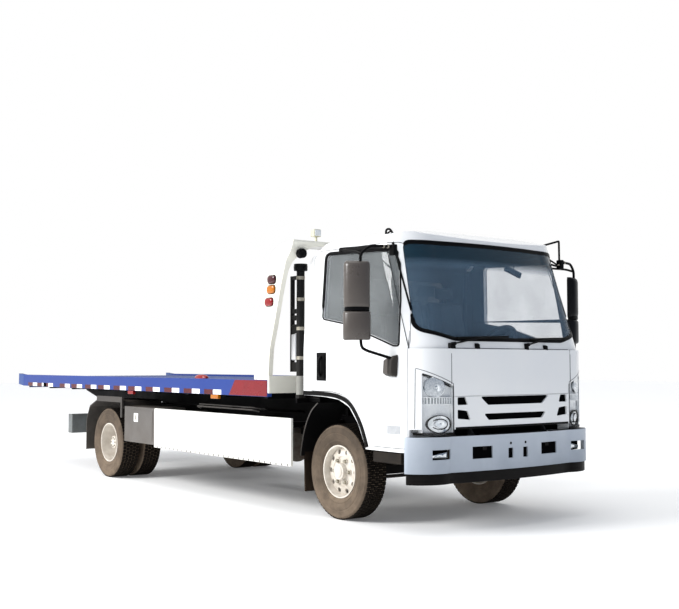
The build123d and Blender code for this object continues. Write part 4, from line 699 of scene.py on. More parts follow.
def smooth_line(corners, steps=6):
    """Points along a Catmull-Rom curve through (u, v) corners."""
    ends = [corners[0]] + list(corners) + [corners[-1]]
    points = []
    for a, b, c, d in zip(ends, ends[1:], ends[2:], ends[3:]):
        for step in range(steps):
            t = step / steps
            points.append(tuple(0.5 * (
                2 * b[i] + (c[i] - a[i]) * t + (2 * a[i] - 5 * b[i] + 4 * c[i] - d[i]) * t ** 2
                + (3 * b[i] - a[i] - 3 * c[i] + d[i]) * t ** 3) for i in (0, 1)))
    return points + [tuple(corners[-1])]


def block_piece(name, blocks, material, body, slot, *finish, **more):
    """A piece made of blocks, each as add_block takes it."""
    shell = bmesh.new()
    for block in blocks:
        add_block(shell, *block)
    make_piece(name, shell, material, body, slot, *finish, **more)


def tube_piece(name, tubes, material, body, slot, *finish, **more):
    """A piece made of rods or pipes, each as add_tube takes it."""
    shell = bmesh.new()
    for tube in tubes:
        add_tube(shell, *tube)
    make_piece(name, shell, material, body, slot, *finish, **more)


def stops(start, finish, steps):
    """Even places from start to finish, both ends included."""
    return [start + (finish - start) * k / steps for k in range(steps + 1)]


front_half = 0.69                 # the cab's bowed front ends here on each side; its corners begin
bow_share = 0.758                 # this share of a corner is bowed, and the rest of it is straight


def corner_x(y):
    """Front face of the cab at a place across, from the front axle."""
    y = abs(y)
    if y < front_half:
        return 1.172 - 0.021 * (y / front_half) ** 2
    share = (y - front_half) / (cab_half - front_half)
    if share < bow_share:
        return 1.151 - 0.104 * (share / bow_share) ** 2
    return 1.047 - (share - bow_share) * 0.62


def add_bowed(shell, front, places, section, side=1):
    """A strip that follows a bowed front: (depth, height) corners at places across."""
    add_loft(shell, [[(front(y) - depth, side * y, z) for depth, z in section] for y in places])


arch_line = [(-0.372, 1.052), (-0.06, 1.048), (0.135, 1.028), (0.285, 0.968), (0.408, 0.828), (0.478, 0.690),
             (0.497, 0.640)]
slit_line = list(zip(stops(0.884, 0.959, 6), stops(2.060, 1.855, 6)))
# Places of the door handle's grip: along, out from the door, height
grip_line = ((-0.120, 0.010, 1.200), (-0.116, 0.034, 1.225), (-0.110, 0.036, 1.335), (-0.108, 0.010, 1.362))
shell_tree = tree_of("cab_shell")
for side_name, side in sides:
    side_tree = tree_of("cab_shell", "door_" + side_name)
    moulding = bmesh.new()
    rows, section = laid_strip(side_tree, smooth_line(arch_line), side, 0.036, 0.010, 0.012)
    add_band(moulding, rows, section, closed=False)
    make_piece("arch_moulding_" + side_name, moulding, black_trim_and_shade, "cab", "black_plastic", crease=50)

    face = side * cab_half
    block_piece("handle_cup_" + side_name, [
        ((-0.186, face - side * 0.006, 1.160), (-0.052, face + side * 0.006, 1.398)),
        ((-0.172, face + side * 0.004, 1.178), (-0.066, face + side * 0.012, 1.380))],
        black_trim_and_shade, "door_" + side_name, "black_plastic", 0.004, 3)
    grip = [(x, face + side * out, z) for x, out, z in grip_line]
    tube_piece("handle_grip_" + side_name, [(grip, 0.012, 12, 0.03)], black_trim_and_shade, "door_" + side_name,
               "black_plastic", crease=50)

    slit = bmesh.new()
    rows, section = laid_strip(shell_tree, slit_line, side, 0.02, 0.004, 0.006)
    add_band(slit, rows, section, closed=False)
    make_piece("pillar_slit_" + side_name, slit, black_trim_and_shade, "cab", "black_plastic", crease=50)

# Black inserts that fill the grille openings, 15 mm back from the face and bowed as it is
openings = [[(-0.400, 1.046), (0.400, 1.046), (0.315, 0.980), (-0.315, 0.980)],
            [(-0.362, 0.912), (0.362, 0.912), (0.310, 0.862), (-0.310, 0.862)]]
for side in (1, -1):
    openings.append([(side * 0.551, 1.045), (side * 0.634, 1.045), (side * 0.634, 0.985),
                     (side * 0.528, 0.985)])
    openings.append([(side * 0.530, 0.938), (side * 0.634, 0.950), (side * 0.634, 0.880),
                     (side * 0.500, 0.868)])
insert = bmesh.new()
for corners in openings:
    middle = sum((Vector(c) for c in corners), Vector((0, 0))) / 4
    wider = [Vector(c) + (Vector(c) - middle).normalized() * 0.003 for c in corners]
    left_foot, right_foot, right_top, left_top = wider
    rings = []
    for share in stops(0, 1, 8):
        low, high = left_foot.lerp(right_foot, share), left_top.lerp(right_top, share)
        rings.append([(corner_x(p.x) - depth, p.x, p.y) for p, depth in
                      ((low, 0.015), (high, 0.015), (high, 0.028), (low, 0.028))])
    add_loft(insert, rings)
make_piece("grille_insert", insert, black_mesh_and_shade, "cab", "black_plastic")
# Matt black blocks in the gaps between the bumper's top and the cab's foot: painted shade in those gaps
shaded_gap_spans = ((-0.62, -0.447), (-0.393, 0.393), (0.447, 0.62))
block_piece("bumper_gap_shade_blocks", [((1.045, low, 0.748), (1.065, high, 0.795)) for low, high in shaded_gap_spans],
            black_mesh_and_shade, "chassis", "black_plastic")

# ------------------------------------------------------------------ glass
# Laminated screen and tempered panes, blue-grey in the mass; the screen has a darker
# shade band along its top, and all panes stand in their rubbers.


def made_glass(name, colour, share, band=None):
    """Tinted glass as a glossy film that lets part of the view through; band darkens its top."""
    made = bpy.data.materials.new(name)
    made.use_nodes = True
    tree = made.node_tree
    shader = tree.nodes["Principled BSDF"]
    shader.inputs["Roughness"].default_value = 0.03
    shader.inputs["IOR"].default_value = 1.52
    place = add_node(tree, "ShaderNodeTexCoord").outputs["Object"]
    smear = add_node(tree, "ShaderNodeTexNoise", {"Scale": 3.0, "Detail": 4.0}, {"Vector": place}).outputs[0]
    tint = add_node(tree, "ShaderNodeMix", {"data_type": "RGBA", 6: linear(colour), 7: linear("#000000")},
                    {0: add_node(tree, "ShaderNodeMapRange", {1: 0.3, 2: 1.4},
                                 {0: smear}).outputs[0]}).outputs[2]
    cover = add_node(tree, "ShaderNodeMapRange", {1: 0.3, 2: 0.7, 3: share - 0.03, 4: share + 0.03},
                     {0: smear}).outputs[0]
    if band:
        low, high, dark, dark_share = band
        height = add_node(tree, "ShaderNodeSeparateXYZ", links={0: place}).outputs[2]
        top = add_node(tree, "ShaderNodeMapRange", {1: low, 2: high}, {0: height}).outputs[0]
        tint = add_node(tree, "ShaderNodeMix", {"data_type": "RGBA", 7: linear(dark)},
                        {0: top, 6: tint}).outputs[2]
        cover = add_node(tree, "ShaderNodeMix", {3: dark_share}, {0: top, 2: cover}).outputs[0]
    tree.links.new(tint, shader.inputs["Base Color"])
    tree.links.new(cover, shader.inputs["Alpha"])
    return made


# The shade band: height where it starts and where it is full, colour, share of light it stops
shade_band = (2.06, 2.15, "#10303f", 0.75)
paint_nodes(["windscreen"], made_glass("laminated_screen_glass", "#7d9cb8", 0.20, shade_band))
paint_nodes(["door_glass_right"], made_glass("tempered_side_glass", "#8f9496", 0.42))
paint_nodes(["door_glass_left"], made_glass("clean_tempered_side_glass", "#b9c6d2", 0.06))
# The rear pane is almost black and nearly opaque: painted shade for the dark cab seen through it
paint_nodes(["rear_window"], made_glass("rear_glass_painted_shade", "#141c24", 0.93))

# ------------------------------------------------------------------ mirrors and roof fittings
# Moulded mirror heads on bent black rods, with silvered glasses that face back, bolted to
# the doors; a small bracket stands on the roof's edge by each door, and the inner mirror
# hangs behind the screen.
# Mirror plastic: grey-brown grained ABS, lighter where the sun has bleached it
mirror_plastic = made_material("grained_mirror_plastic", "#47413d", "#4c4642", 400, 2.5, 0.1, (0.22, 0.34),
                               dust_and_shade_share=0.05, dust_and_shade_top=2.6)
# The driver's mirror, on the far side, has the same grey-brown shell; its black here is painted shade. The
# inner mirror is black plastic
mirror_black_and_shade = made_material("black_mirror_plastic_and_painted_shade", "#0b0b0e", "#101014", 220, 2.5, 0.1, (0.3, 0.42),
                             shine=0.15)
foot_dark = made_material("dark_foot_plastic", "#2b2825", "#35312d", 90, 2.5, 0.1, (0.35, 0.5), shine=0.2)
# Mirror glass: silvered on the back, so nearly a pure reflection
silvering = made_material("silvered_mirror_glass", "#c9ced2", "#b9c0c6", 300, 40, 0.01, (0.06, 0.10), 1.0)


def mirror_head(shell, centre, yaw, wide, deep, low, high, side):
    """A moulded head: a half-round section up its height, drawn in at both ends, flat at the glass."""
    turn = Matrix.Rotation(math.radians(yaw * side), 3, "Z")
    rings = []
    for share, width, depth in ((0.0, 0.84, 0.50), (0.015, 0.93, 0.74), (0.05, 0.99, 0.94), (0.12, 1.0, 1.0),
                                (0.88, 1.0, 1.0), (0.95, 0.98, 0.92), (0.985, 0.92, 0.72),
                                (1.0, 0.82, 0.46)):
        half, z = wide * width / 2, low + (high - low) * share
        ring = []
        for k in range(15):
            a = math.radians(-90 + 180 * k / 14)
            ring.append((deep * (depth * max(math.cos(a), 0.0) ** 0.6 - 0.5), half * math.sin(a)))
        rings.append([turn @ Vector((x, y, 0)) + Vector((centre[0], centre[1] * side, z)) for x, y in ring])
    add_loft(shell, rings)


def stacked(shell, side, plates, steps):
    """A moulded foot or cover: outlines of (x, z, radius) corners, one outside the other."""
    add_loft(shell, [[(p.x, side * y, p.y) for p in rounded_outline(corners, steps)]
                     for y, corners in plates])


foot_plates = [
    (-1.0004, [(0.742, 1.205, 0.03), (0.868, 1.200, 0.02), (0.882, 1.378, 0.02), (0.758, 1.345, 0.03)]),
    (-1.035, [(0.746, 1.212, 0.03), (0.864, 1.207, 0.02), (0.877, 1.370, 0.02), (0.762, 1.338, 0.03)]),
    (-1.050, [(0.762, 1.228, 0.03), (0.850, 1.223, 0.02), (0.862, 1.352, 0.02), (0.776, 1.324, 0.03)])]
cover_plates = [
    (-1.045, [(0.757, 1.222, 0.012), (0.818, 1.218, 0.012), (0.824, 1.352, 0.012), (0.768, 1.334, 0.012)]),
    (-1.0565, [(0.760, 1.226, 0.012), (0.814, 1.222, 0.012), (0.820, 1.346, 0.012), (0.771, 1.329, 0.012)])]
rail_section = [(-0.018, -0.002), (-0.018, 0.016), (-0.012, 0.022), (0.012, 0.022), (0.018, 0.016),
                (0.018, -0.002)]
rail_fall = 0.05                  # the rail drops forwards by this much a metre
head_x, head_y = 0.714, -1.273
arm_x, arm_y, arm_radius = 0.735, -1.255, 0.0115
# Places across are drawn for the right side, where y is below zero; the left side turns them
for side_name, side, yaw in (("left", -1, -30), ("right", 1, -37)):
    body = "door_" + side_name
    heads = bmesh.new()
    mirror_head(heads, (head_x, head_y), yaw, 0.205, 0.08, 1.722, 2.098, side)
    mirror_head(heads, (head_x, head_y), yaw, 0.215, 0.08, 1.484, 1.712, side)
    # The far side's heads are drawn black as painted shade
    head_finish = mirror_black_and_shade if side < 0 else mirror_plastic
    make_piece("mirror_heads_" + side_name, heads, head_finish, body, "mirror_housing", crease=50,
               stands_for=["mirrors_" + side_name])
    # A black band round the upper head's drawn-in foot: painted shade under the head
    wedge = bmesh.new()
    mirror_head(wedge, (head_x, head_y), yaw, 0.196, 0.072, 1.708, 1.745, side)
    make_piece("mirror_head_foot_shade_" + side_name, wedge, black_trim_and_shade, body, "mirror_housing", crease=50)
    block_piece("mirror_glass_" + side_name, [
        ((head_x - 0.0440, side * head_y - 0.088, low), (head_x - 0.0385, side * head_y + 0.088, high),
         yaw * side, (head_x, side * head_y, low)) for low, high in ((1.742, 2.078), (1.500, 1.696))],
        silvering, body, "mirror_housing", 0.004, 3)

    def at(x, y, z):
        """A place of the right side, turned over to this side."""
        return (x, side * y, z)

    rods = bmesh.new()
    add_tube(rods, [at(arm_x, arm_y, 1.50), at(arm_x, arm_y, 2.155), at(0.760, -1.18, 2.215),
                    at(0.80, -0.985, 2.222), at(0.806, -0.965, 2.175)], arm_radius, 12, 0.035)
    add_tube(rods, [at(arm_x, arm_y, 1.52), at(0.738, -1.25, 1.43), at(0.76, -1.22, 1.405),
                    at(0.845, -1.04, 1.345)], arm_radius, 12, 0.035)
    add_tube(rods, [at(arm_x, arm_y, 2.150), at(0.66, -1.245, 2.175), at(0.48, -1.225, 2.200)], 0.010, 12,
             0.03)
    for z in (1.60, 1.90):
        add_block(rods, at(0.722, -1.273, z - 0.02), at(0.748, -1.237, z + 0.02))
    make_piece("mirror_rods_" + side_name, rods, black_trim_and_shade, body, "mirror_housing", crease=50)

    foot = bmesh.new()
    stacked(foot, side, foot_plates, 5)
    make_piece("mirror_foot_" + side_name, foot, foot_dark, body, "mirror_housing", crease=40)
    cover = bmesh.new()
    stacked(cover, side, cover_plates, 4)
    make_piece("mirror_foot_cover_" + side_name, cover, mirror_plastic, body, "mirror_housing", 0.002)
    block_piece("mirror_top_foot_" + side_name, [(at(0.778, -1.004, 2.150), at(0.836, -0.962, 2.236))],
                black_trim_and_shade, body, "mirror_housing", 0.008, 3)

    # A black rail on the door frame's head, with clamps where the arm meets it
    rail_bar = bmesh.new()
    hit_tree = tree_of("cab_shell", "door_" + side_name)
    rows = []
    for x in stops(0.085, 0.735, 12):
        hit, normal = laid_on(hit_tree, (x, -side * beside_cab, 2.262 - rail_fall * x), (0, side, 0))
        rows.append((hit, Vector((1, 0, -rail_fall)).cross(normal).normalized(), normal))
    add_band(rail_bar, rows, rail_section, closed=False)
    make_piece("door_head_rail_" + side_name, rail_bar, black_trim_and_shade, body, "mirror_housing", crease=40)
    tube_piece("mirror_arm_clamps_" + side_name, [
        ([at(0.788, -1.03, 2.220), at(0.791, -1.018, 2.220)], 0.0155, 16),
        ([at(0.781, -1.07, 2.2185), at(0.783, -1.058, 2.219)], 0.0155, 16),
        ([at(0.8045, -0.972, 2.192), at(0.806, -0.968, 2.180)], 0.0155, 16)],
        zinc_plate, body, "mirror_housing", 0.001, 1)
    tube_piece("roof_bracket_" + side_name, [
        ([at(0.575, -0.862, 2.335), at(0.590, -0.876, 2.385), at(0.640, -0.876, 2.388),
          at(0.668, -0.862, 2.335)], 0.009, 10, 0.025),
        ([at(0.586, -0.866, 2.350), at(0.645, -0.866, 2.372)], 0.007, 10)],
        black_trim_and_shade, "cab", "black_plastic", crease=50)
# The driver's side has a stay from the roof bracket out and down to the mirror arm
tube_piece("roof_mirror_stay", [
    ([(0.600, 0.862, 2.352), (0.620, 1.190, 2.440), (0.622, 1.190, 2.200), (0.660, 0.985, 2.215)],
     0.0095, 12, 0.012),
    ([(0.600, 0.862, 2.345), (0.640, 1.190, 2.195)], 0.008, 12)],
    black_trim_and_shade, "cab", "black_plastic", crease=50)
# The inner mirror is turned and tilted towards the driver, on a bent stem behind the screen
inner_mirror = bmesh.new()
inner_yaw, inner_tilt = -8, Matrix.Rotation(math.radians(-20), 3, "X")
head = add_block(inner_mirror, (0.790, 0.285, 2.070), (0.808, 0.465, 2.120), inner_yaw)
bmesh.ops.rotate(inner_mirror, cent=(0.799, 0.375, 2.095), matrix=inner_tilt, verts=head)
add_tube(inner_mirror, [(0.802, 0.375, 2.105), (0.812, 0.375, 2.140), (0.832, 0.375, 2.160)], 0.006, 10,
         0.01)
make_piece("inner_mirror", inner_mirror, mirror_black_and_shade, "cab", "mirror_housing", 0.006, 3)

# ------------------------------------------------------------------ headlamps
# Clear moulded lenses over a chromed bowl, a ribbed indicator strip and a low projector in
# its oval ring, on a pale bezel set into the corner of the cab.
# Lamp lens: clear acrylic, glossy, with a faint haze
lens_clear = made_glass("clear_lamp_lens", "#f2f4f5", 0.05)
# Reflector: vacuum-metallised plastic, nearly a mirror
chrome = made_material("metallised_reflector", "#dfe3e6", "#c2c8cc", 40, 15, 0.02, (0.06, 0.14), 1.0)
# Bezel and indicator insert: pale grey ribbed plastic
lamp_grey = made_material("ribbed_lamp_plastic", "#e9ebec", "#d5d9dc", 60, 8, 0.03, (0.2, 0.35))
# Painted shade between the indicator's ribs: the same pale plastic, darker, in the recesses between them
rib_gap_shade = made_material("rib_plastic_painted_shade", "#8f9698", "#7d8587", 40, 6, 0.03, (0.15, 0.3))
# Projector glass: a thick clear lens drawn as opaque milky white, a painted highlight against its bowl; the
# bulb covers and the work lamps' glass take it too
lens_white_highlight = made_material("projector_glass_painted_highlight", "#f2f5f7", "#dfe5ea", 50, 12, 0.02, (0.05, 0.12),
                                coat=0.5)


def oval_rings(side, oval, rows):
    """Rings of a face that follows the lamp's bow: rows of (depth, share of the oval's size).
    The oval is its middle across, its middle height, its half width and its half height."""
    y0, z0, half_wide, half_high = oval
    angles = [2 * math.pi * k / 32 for k in range(32)]
    return [[(corner_x(y0 + half_wide * math.cos(a)) - depth, side * (y0 + half_wide * share * math.cos(a)),
              z0 + half_high * share * math.sin(a)) for a in angles] for depth, share in rows]


def lamp_oval(name, side, oval, rows, material, crease):
    """A bowl, dish or lens that follows the lamp's bow, as a piece of its own."""
    shell = bmesh.new()
    add_loft(shell, oval_rings(side, oval, rows))
    make_piece(name, shell, material, "cab", "lamp_clear", crease=crease)


main_lamp, main_bulb = (0.822, 1.125, 0.072, 0.078), (0.800, 1.115, 0.034, 0.036)
low_lamp, low_bulb = (0.785, 0.842, 0.094, 0.068), (0.766, 0.845, 0.052, 0.036)
bowl_rows = ((0.010, 1.0), (0.010, 0.93), (0.026, 0.90), (0.031, 0.60), (0.033, 0.02), (0.0335, 0.02),
             (0.0335, 0.9), (0.0335, 1.0))
bulb_rows = ((0.012, 0.05), (0.0125, 0.5), (0.016, 0.85), (0.026, 1.0), (0.031, 1.0))
dish_rows = ((0.020, 0.96), (0.030, 0.55), (0.032, 0.02), (0.0335, 0.02), (0.0335, 0.96))
projector_rows = ((0.0065, 0.03), (0.007, 0.45), (0.010, 0.80), (0.016, 1.0), (0.024, 1.0))
lamp_inner, lamp_outer, lamp_foot = 0.676, 0.908, 0.768
rib_back, rib_pitch, ribs = 1.012, 0.0206, 11
for side_name, side in sides:
    lens = bmesh.new()
    lens.from_mesh(nodes["headlamps"].data)
    bmesh.ops.translate(lens, verts=lens.verts, vec=(-axle_x, 0, 0))
    bmesh.ops.delete(lens, geom=[v for v in lens.verts if v.co.y * side < 0], context="VERTS")
    joined(lens)
    make_piece("lamp_lens_" + side_name, lens, lens_clear, "cab", "lamp_clear", 0.006, 3,
               stands_for=["headlamps"] if side > 0 else ())
    # The bezel is a bowed shelf 34 mm behind the cab's face, with walls at both ends
    bezel = bmesh.new()
    across = stops(lamp_inner, lamp_outer, 10)
    add_loft(bezel, [[(corner_x(y) - depth, side * y, z) for depth, z in (
        (0.034, lamp_foot), (0.034, top), (0.040, top), (0.040, lamp_foot))]
        for y, top in zip(across, stops(1.118, 1.218, 10))])
    for y, top in ((lamp_inner, 1.122), (lamp_outer, 1.218)):
        add_block(bezel, (1.004, side * (y - 0.003), lamp_foot),
                  (corner_x(y) - 0.008, side * (y + 0.003), top))
    make_piece("lamp_bezel_" + side_name, bezel, lamp_grey, "cab", "lamp_clear", 0.002)
    lamp_oval("lamp_bowl_" + side_name, side, main_lamp, bowl_rows, chrome, 35)
    lamp_oval("lamp_bulb_cover_" + side_name, side, main_bulb, bulb_rows, lens_white_highlight, 50)
    strip = bmesh.new()
    shades = bmesh.new()
    for k in range(ribs):
        y = lamp_inner + 0.006 + k * rib_pitch
        rib_end = y + 0.010
        add_block(strip, (rib_back, side * y, 0.996), (corner_x(rib_end) - 0.009, side * rib_end, 1.044))
        add_block(shades, (rib_back, side * rib_end, 0.998),
                  (corner_x(y + 0.018) - 0.014, side * (y + rib_pitch), 1.042))
    for low, high in ((0.990, 0.997), (1.043, 1.050)):
        add_loft(strip, [[(x, side * y, z) for x, z in (
            (rib_back, low), (corner_x(y) - 0.008, low), (corner_x(y) - 0.008, high), (rib_back, high))]
            for y in across])
    make_piece("lamp_indicator_" + side_name, strip, lamp_grey, "cab", "lamp_clear", 0.0015)
    make_piece("lamp_indicator_shades_" + side_name, shades, rib_gap_shade, "cab", "lamp_clear", 0.001)
    pod = bmesh.new()
    for outer_share, inner_share, depth in ((1.0, 0.93, 0.008), (0.62, 0.52, 0.009)):
        add_loft(pod, oval_rings(side, low_lamp, (
            (depth + 0.022, outer_share), (depth, outer_share), (depth, inner_share),
            (depth + 0.022, inner_share))))
    make_piece("lamp_pod_rings_" + side_name, pod, black_trim_and_shade, "cab", "lamp_clear", crease=35)
    lamp_oval("lamp_dish_" + side_name, side, low_lamp, dish_rows, chrome, 35)
    lamp_oval("lamp_projector_" + side_name, side, low_bulb, projector_rows, lens_white_highlight, 50)

# ------------------------------------------------------------------ bumper and valance
# Pressed bumper sprayed silver, with fog lamps, black mesh behind its openings, tow-hook
# caps and a black rubbery valance below. Rubber strips close the joints of the cab's front
# and its doors, and moulded caps cover the wiper pivots.
# Silver enamel: aluminium flake under clear lacquer. Its blue-grey film, heavy below 0.8 m and on faces that
# look up, is painted shade
silver_enamel_and_shade = made_material("silver_bumper_enamel_and_painted_shade", "#bcc4ce", "#b4bcc7", 700, 20, 0.02, (0.36, 0.46),
                              0.25, coat=0.05, dust_and_shade="#626d7b", dust_and_shade_share=0.85, dust_and_shade_top=0.80)


def bumper_x(y):
    """Front face of the bumper at a place across, from the front axle."""
    y = abs(y)
    if y < front_half:
        return 1.190 - 0.052 * (y / front_half) ** 2
    return 1.138 - 0.49 * (y - front_half) ** 1.6


def bumper_shade_faces(centre, facing):
    """Faces of the silver bumper drawn black as painted shade: behind its face, or the plate in its low
    openings.
    """
    behind = centre.x < bumper_x(centre.y) - 0.009 and (centre.z < 0.72 or facing.z < 0.5)
    low_plate = 0.29 < abs(centre.y) < 0.48 and 0.572 < centre.z < 0.658 and facing.x > 0.9995
    return abs(centre.y) < 0.9 and behind or low_plate


# The bumper's faces behind its front and the plate in its low openings are painted shade
softened("bumper", "bumper_skin", silver_enamel_and_shade, 0.006, 3, 32, black_trim_and_shade, bumper_shade_faces)
softened("bumper_valance", "valance_lip", black_trim_and_shade, 0.005, 2, 32)
# Openings of one half: first and last place across, foot and head, front and back of their mesh
mesh_fill = bmesh.new()
opening_rows = ((0.277, 0.493, 0.559, 0.666, 0.013, 0.024), (0.052, 0.118, 0.549, 0.641, 0.013, 0.024),
                (0.692, 0.888, 0.568, 0.657, 0.045, 0.055))
for side in (1, -1):
    for first, last, low, high, front, back in opening_rows:
        add_bowed(mesh_fill, bumper_x, stops(first, last, 2),
                  ((front, low), (front, high), (back, high), (back, low)), side)
make_piece("bumper_opening_backs", mesh_fill, black_mesh_and_shade, "chassis", "black_plastic")
# Black rubber strips shut the gap between bumper and cab: on the bumper's top flange, left
# open where the cab's tilt lugs pass, and along the foot of the grille and the lamps
bumper_top = 0.745
top_strip = bmesh.new()
for start, finish in ((-0.985, -0.462), (-0.369, 0.369), (0.462, 0.985)):
    add_bowed(top_strip, bumper_x, stops(start, finish, 12), (
        (0.007, bumper_top - 0.003), (0.010, bumper_top + 0.003), (0.075, bumper_top + 0.003),
        (0.075, bumper_top - 0.003)))
make_piece("bumper_top_strip", top_strip, black_trim_and_shade, "chassis", "bumper_silver", crease=50)
foot_strip = bmesh.new()
for start, finish, low, high in ((-0.655, 0.655, 0.7995, 0.816), (0.672, 0.95, 0.757, 0.776),
                                 (-0.95, -0.672, 0.757, 0.776)):
    add_bowed(foot_strip, corner_x, stops(start, finish, 12),
              ((0.008, low), (-0.002, low), (-0.002, high), (0.008, high)))
make_piece("cab_foot_strip", foot_strip, black_trim_and_shade, "cab", "black_plastic", crease=50)

# Dark joint lines: filler strips in the gaps round the bonnet panel, lamps and doors
joint_rubber = made_material("dark_joint_rubber", "#2c2d30", "#38393d", 60, 3, 0.05, (0.5, 0.7), shine=0.2)
lamp_line = [(0.673, 0.777, 0.004), (0.950, 0.777, 0.004), (0.946, 1.268, 0.006), (0.676, 1.150, 0.006)]
front_tree = tree_of("cab_shell", "headlamps", "front_panel", "grille")
lamp_joint = [(-0.0022, -0.004), (-0.0022, 0.0012), (0.0022, 0.0012), (0.0022, -0.004)]
for side_name, side in sides:
    lamp_seam = bmesh.new()
    points = even_points(rounded_outline([(side * y, z, r) for y, z, r in lamp_line], 3), 0.03)
    add_band(lamp_seam, surface_rows(front_tree, points, (-1, 0, 0), 0.001), lamp_joint)
    make_piece("lamp_seam_" + side_name, lamp_seam, joint_rubber, "cab", "black_plastic", crease=50)
panel_line = [(-0.6915, 1.1465), (-0.6915, 1.4205), (0.6915, 1.4205), (0.6915, 1.1465)]
panel_seam = bmesh.new()
panel_joint = [(-0.0024, -0.004), (-0.0024, 0.0008), (0.0024, 0.0008), (0.0024, -0.004)]
for (y0, z0), (y1, z1) in zip(panel_line, panel_line[1:]):
    steps = max(2, round(math.hypot(y1 - y0, z1 - z0) / 0.04))
    run = Vector((0, y1 - y0, z1 - z0)).normalized()
    # A level run is read 3 mm higher, so that no ray falls in the joint itself
    lift = 0.003 if z0 == z1 else 0.0
    line = [laid_on(front_tree, (clear_of_cab, y, z + lift), (-1, 0, 0))
            for y, z in zip(stops(y0, y1, steps), stops(z0, z1, steps))]
    add_band(panel_seam, [(p, run.cross(n).normalized(), n) for p, n in line], panel_joint, closed=False)
make_piece("panel_seam", panel_seam, joint_rubber, "cab", "black_plastic", crease=50)
door_joint = [(0.0005, -0.012), (0.0005, -0.004), (0.0035, -0.004), (0.0035, -0.012)]
door_line = [(-0.27, 1.075, 0.02), (-0.27, 2.272, 0.09), (0.795, 2.262, 0.06), (0.889, 1.95, 0.10),
             (0.962, 1.484, 0.06), (0.962, 0.655, 0.012), (0.56, 0.655, 0.02), (0.505, 0.76, 0.08),
             (0.43, 0.88, 0.09), (0.20, 1.03, 0.1), (0.05, 1.075, 0.1)]
for side_name, side in sides:
    seam = bmesh.new()
    points = even_points(rounded_outline(door_line, 5), 0.04)
    rows = surface_rows(shell_tree, points, (0, -side, 0), 0.0065)
    add_band(seam, [(p, w * side, u) for p, w, u in rows], door_joint)
    make_piece("door_seam_" + side_name, seam, joint_rubber, "cab", "black_plastic", crease=50)

cap_y, cap_z = 0.085, 0.672
tube_piece("tow_hook_caps", [
    ([(bumper_x(cap_y) + out, side * cap_y, cap_z) for out in (-0.008, 0.001)], 0.011, 20)
    for side in (1, -1)], black_trim_and_shade, "chassis", "bumper_silver", crease=50)
fog_y, fog_z = 0.781, 0.604
fog_corners = [(0.712, 0.583, 0.008), (0.850, 0.588, 0.010), (0.850, 0.606, 0.010), (0.712, 0.632, 0.008)]
for side_name, side in sides:
    fog = bmesh.new()
    add_loft(fog, [[(bumper_x(p.x) - depth, side * (fog_y + (p.x - fog_y) * share),
                     fog_z + (p.y - fog_z) * share) for p in rounded_outline(fog_corners, 4)]
                   for depth, share in ((0.0125, 0.3), (0.0135, 0.85), (0.018, 1.0), (0.044, 1.0))])
    make_piece("fog_lamp_" + side_name, fog, chrome, "chassis", "bumper_silver", crease=40)

# Wiper pivots and washer jets: black moulded caps along the scuttle
caps = bmesh.new()
cap_shape = ((-1, -1), (1, -1), (0.8, 1), (-0.8, 1))
cap_places = ((-0.668, 1.462, 0.075, 0.052), (0.146, 1.462, 0.042, 0.058), (-0.410, 1.463, 0.048, 0.050),
              (0.382, 1.458, 0.046, 0.046))
for y, z, wide, high in cap_places:
    hit = laid_on(front_tree, (clear_of_cab, y, z - 0.024), (-1, 0, 0))[0]
    foot = [hit + Vector((0.001, u * wide / 2, v * high / 2)) for u, v in cap_shape]
    head = [p + Vector((0.022, 0, -0.002)) + (hit - p) * 0.25 for p in foot]
    add_loft(caps, [[p - Vector((0.008, 0, 0)) for p in foot], foot, head])
make_piece("scuttle_caps", caps, black_trim_and_shade, "cab", "black_plastic", 0.004, 3)

# ------------------------------------------------------------------ bed: side rails, deck and markings
# Folded steel channels and a rolled chequer deck, sprayed blue. The rails carry reflective
# tape in turns of white and dark red, a blank red plate, small lamps and rubber buffers.
# Blue bed enamel: industrial gloss that chalks a little and scuffs down to grey on the deck
blue_enamel = made_material("blue_bed_enamel", "#173480", "#1d3b84", 500, 14, 0.05, (0.28, 0.45),
                            dust_and_shade_share=0.05, dust_and_shade_top=1.3, shine=0.25)
deck_enamel = made_material("scuffed_deck_enamel", "#1f4186", "#4d6186", 260, 12, 0.10, (0.4, 0.65),
                            dust_and_shade_share=0.25, dust_and_shade_top=1.4, shine=0.3)
softened("bed_side_rails", "side_rails", blue_enamel, 0.004, 2, 32)
# Below 1.09 m and on every face that looks down, ahead of the ramp, the deck's runners, bearers and plate
# take the chassis black as painted shade; the deck and its ramp are blue
ramp_start, deck_underside = -6.55, 1.09
softened("bed_floor", "bed_deck", deck_enamel, 0.003, 1, 32, chassis_black_and_shade,
         lambda c, n: c.x > ramp_start and (c.z < deck_underside or n.z < -0.5))

bed_half = 1.15
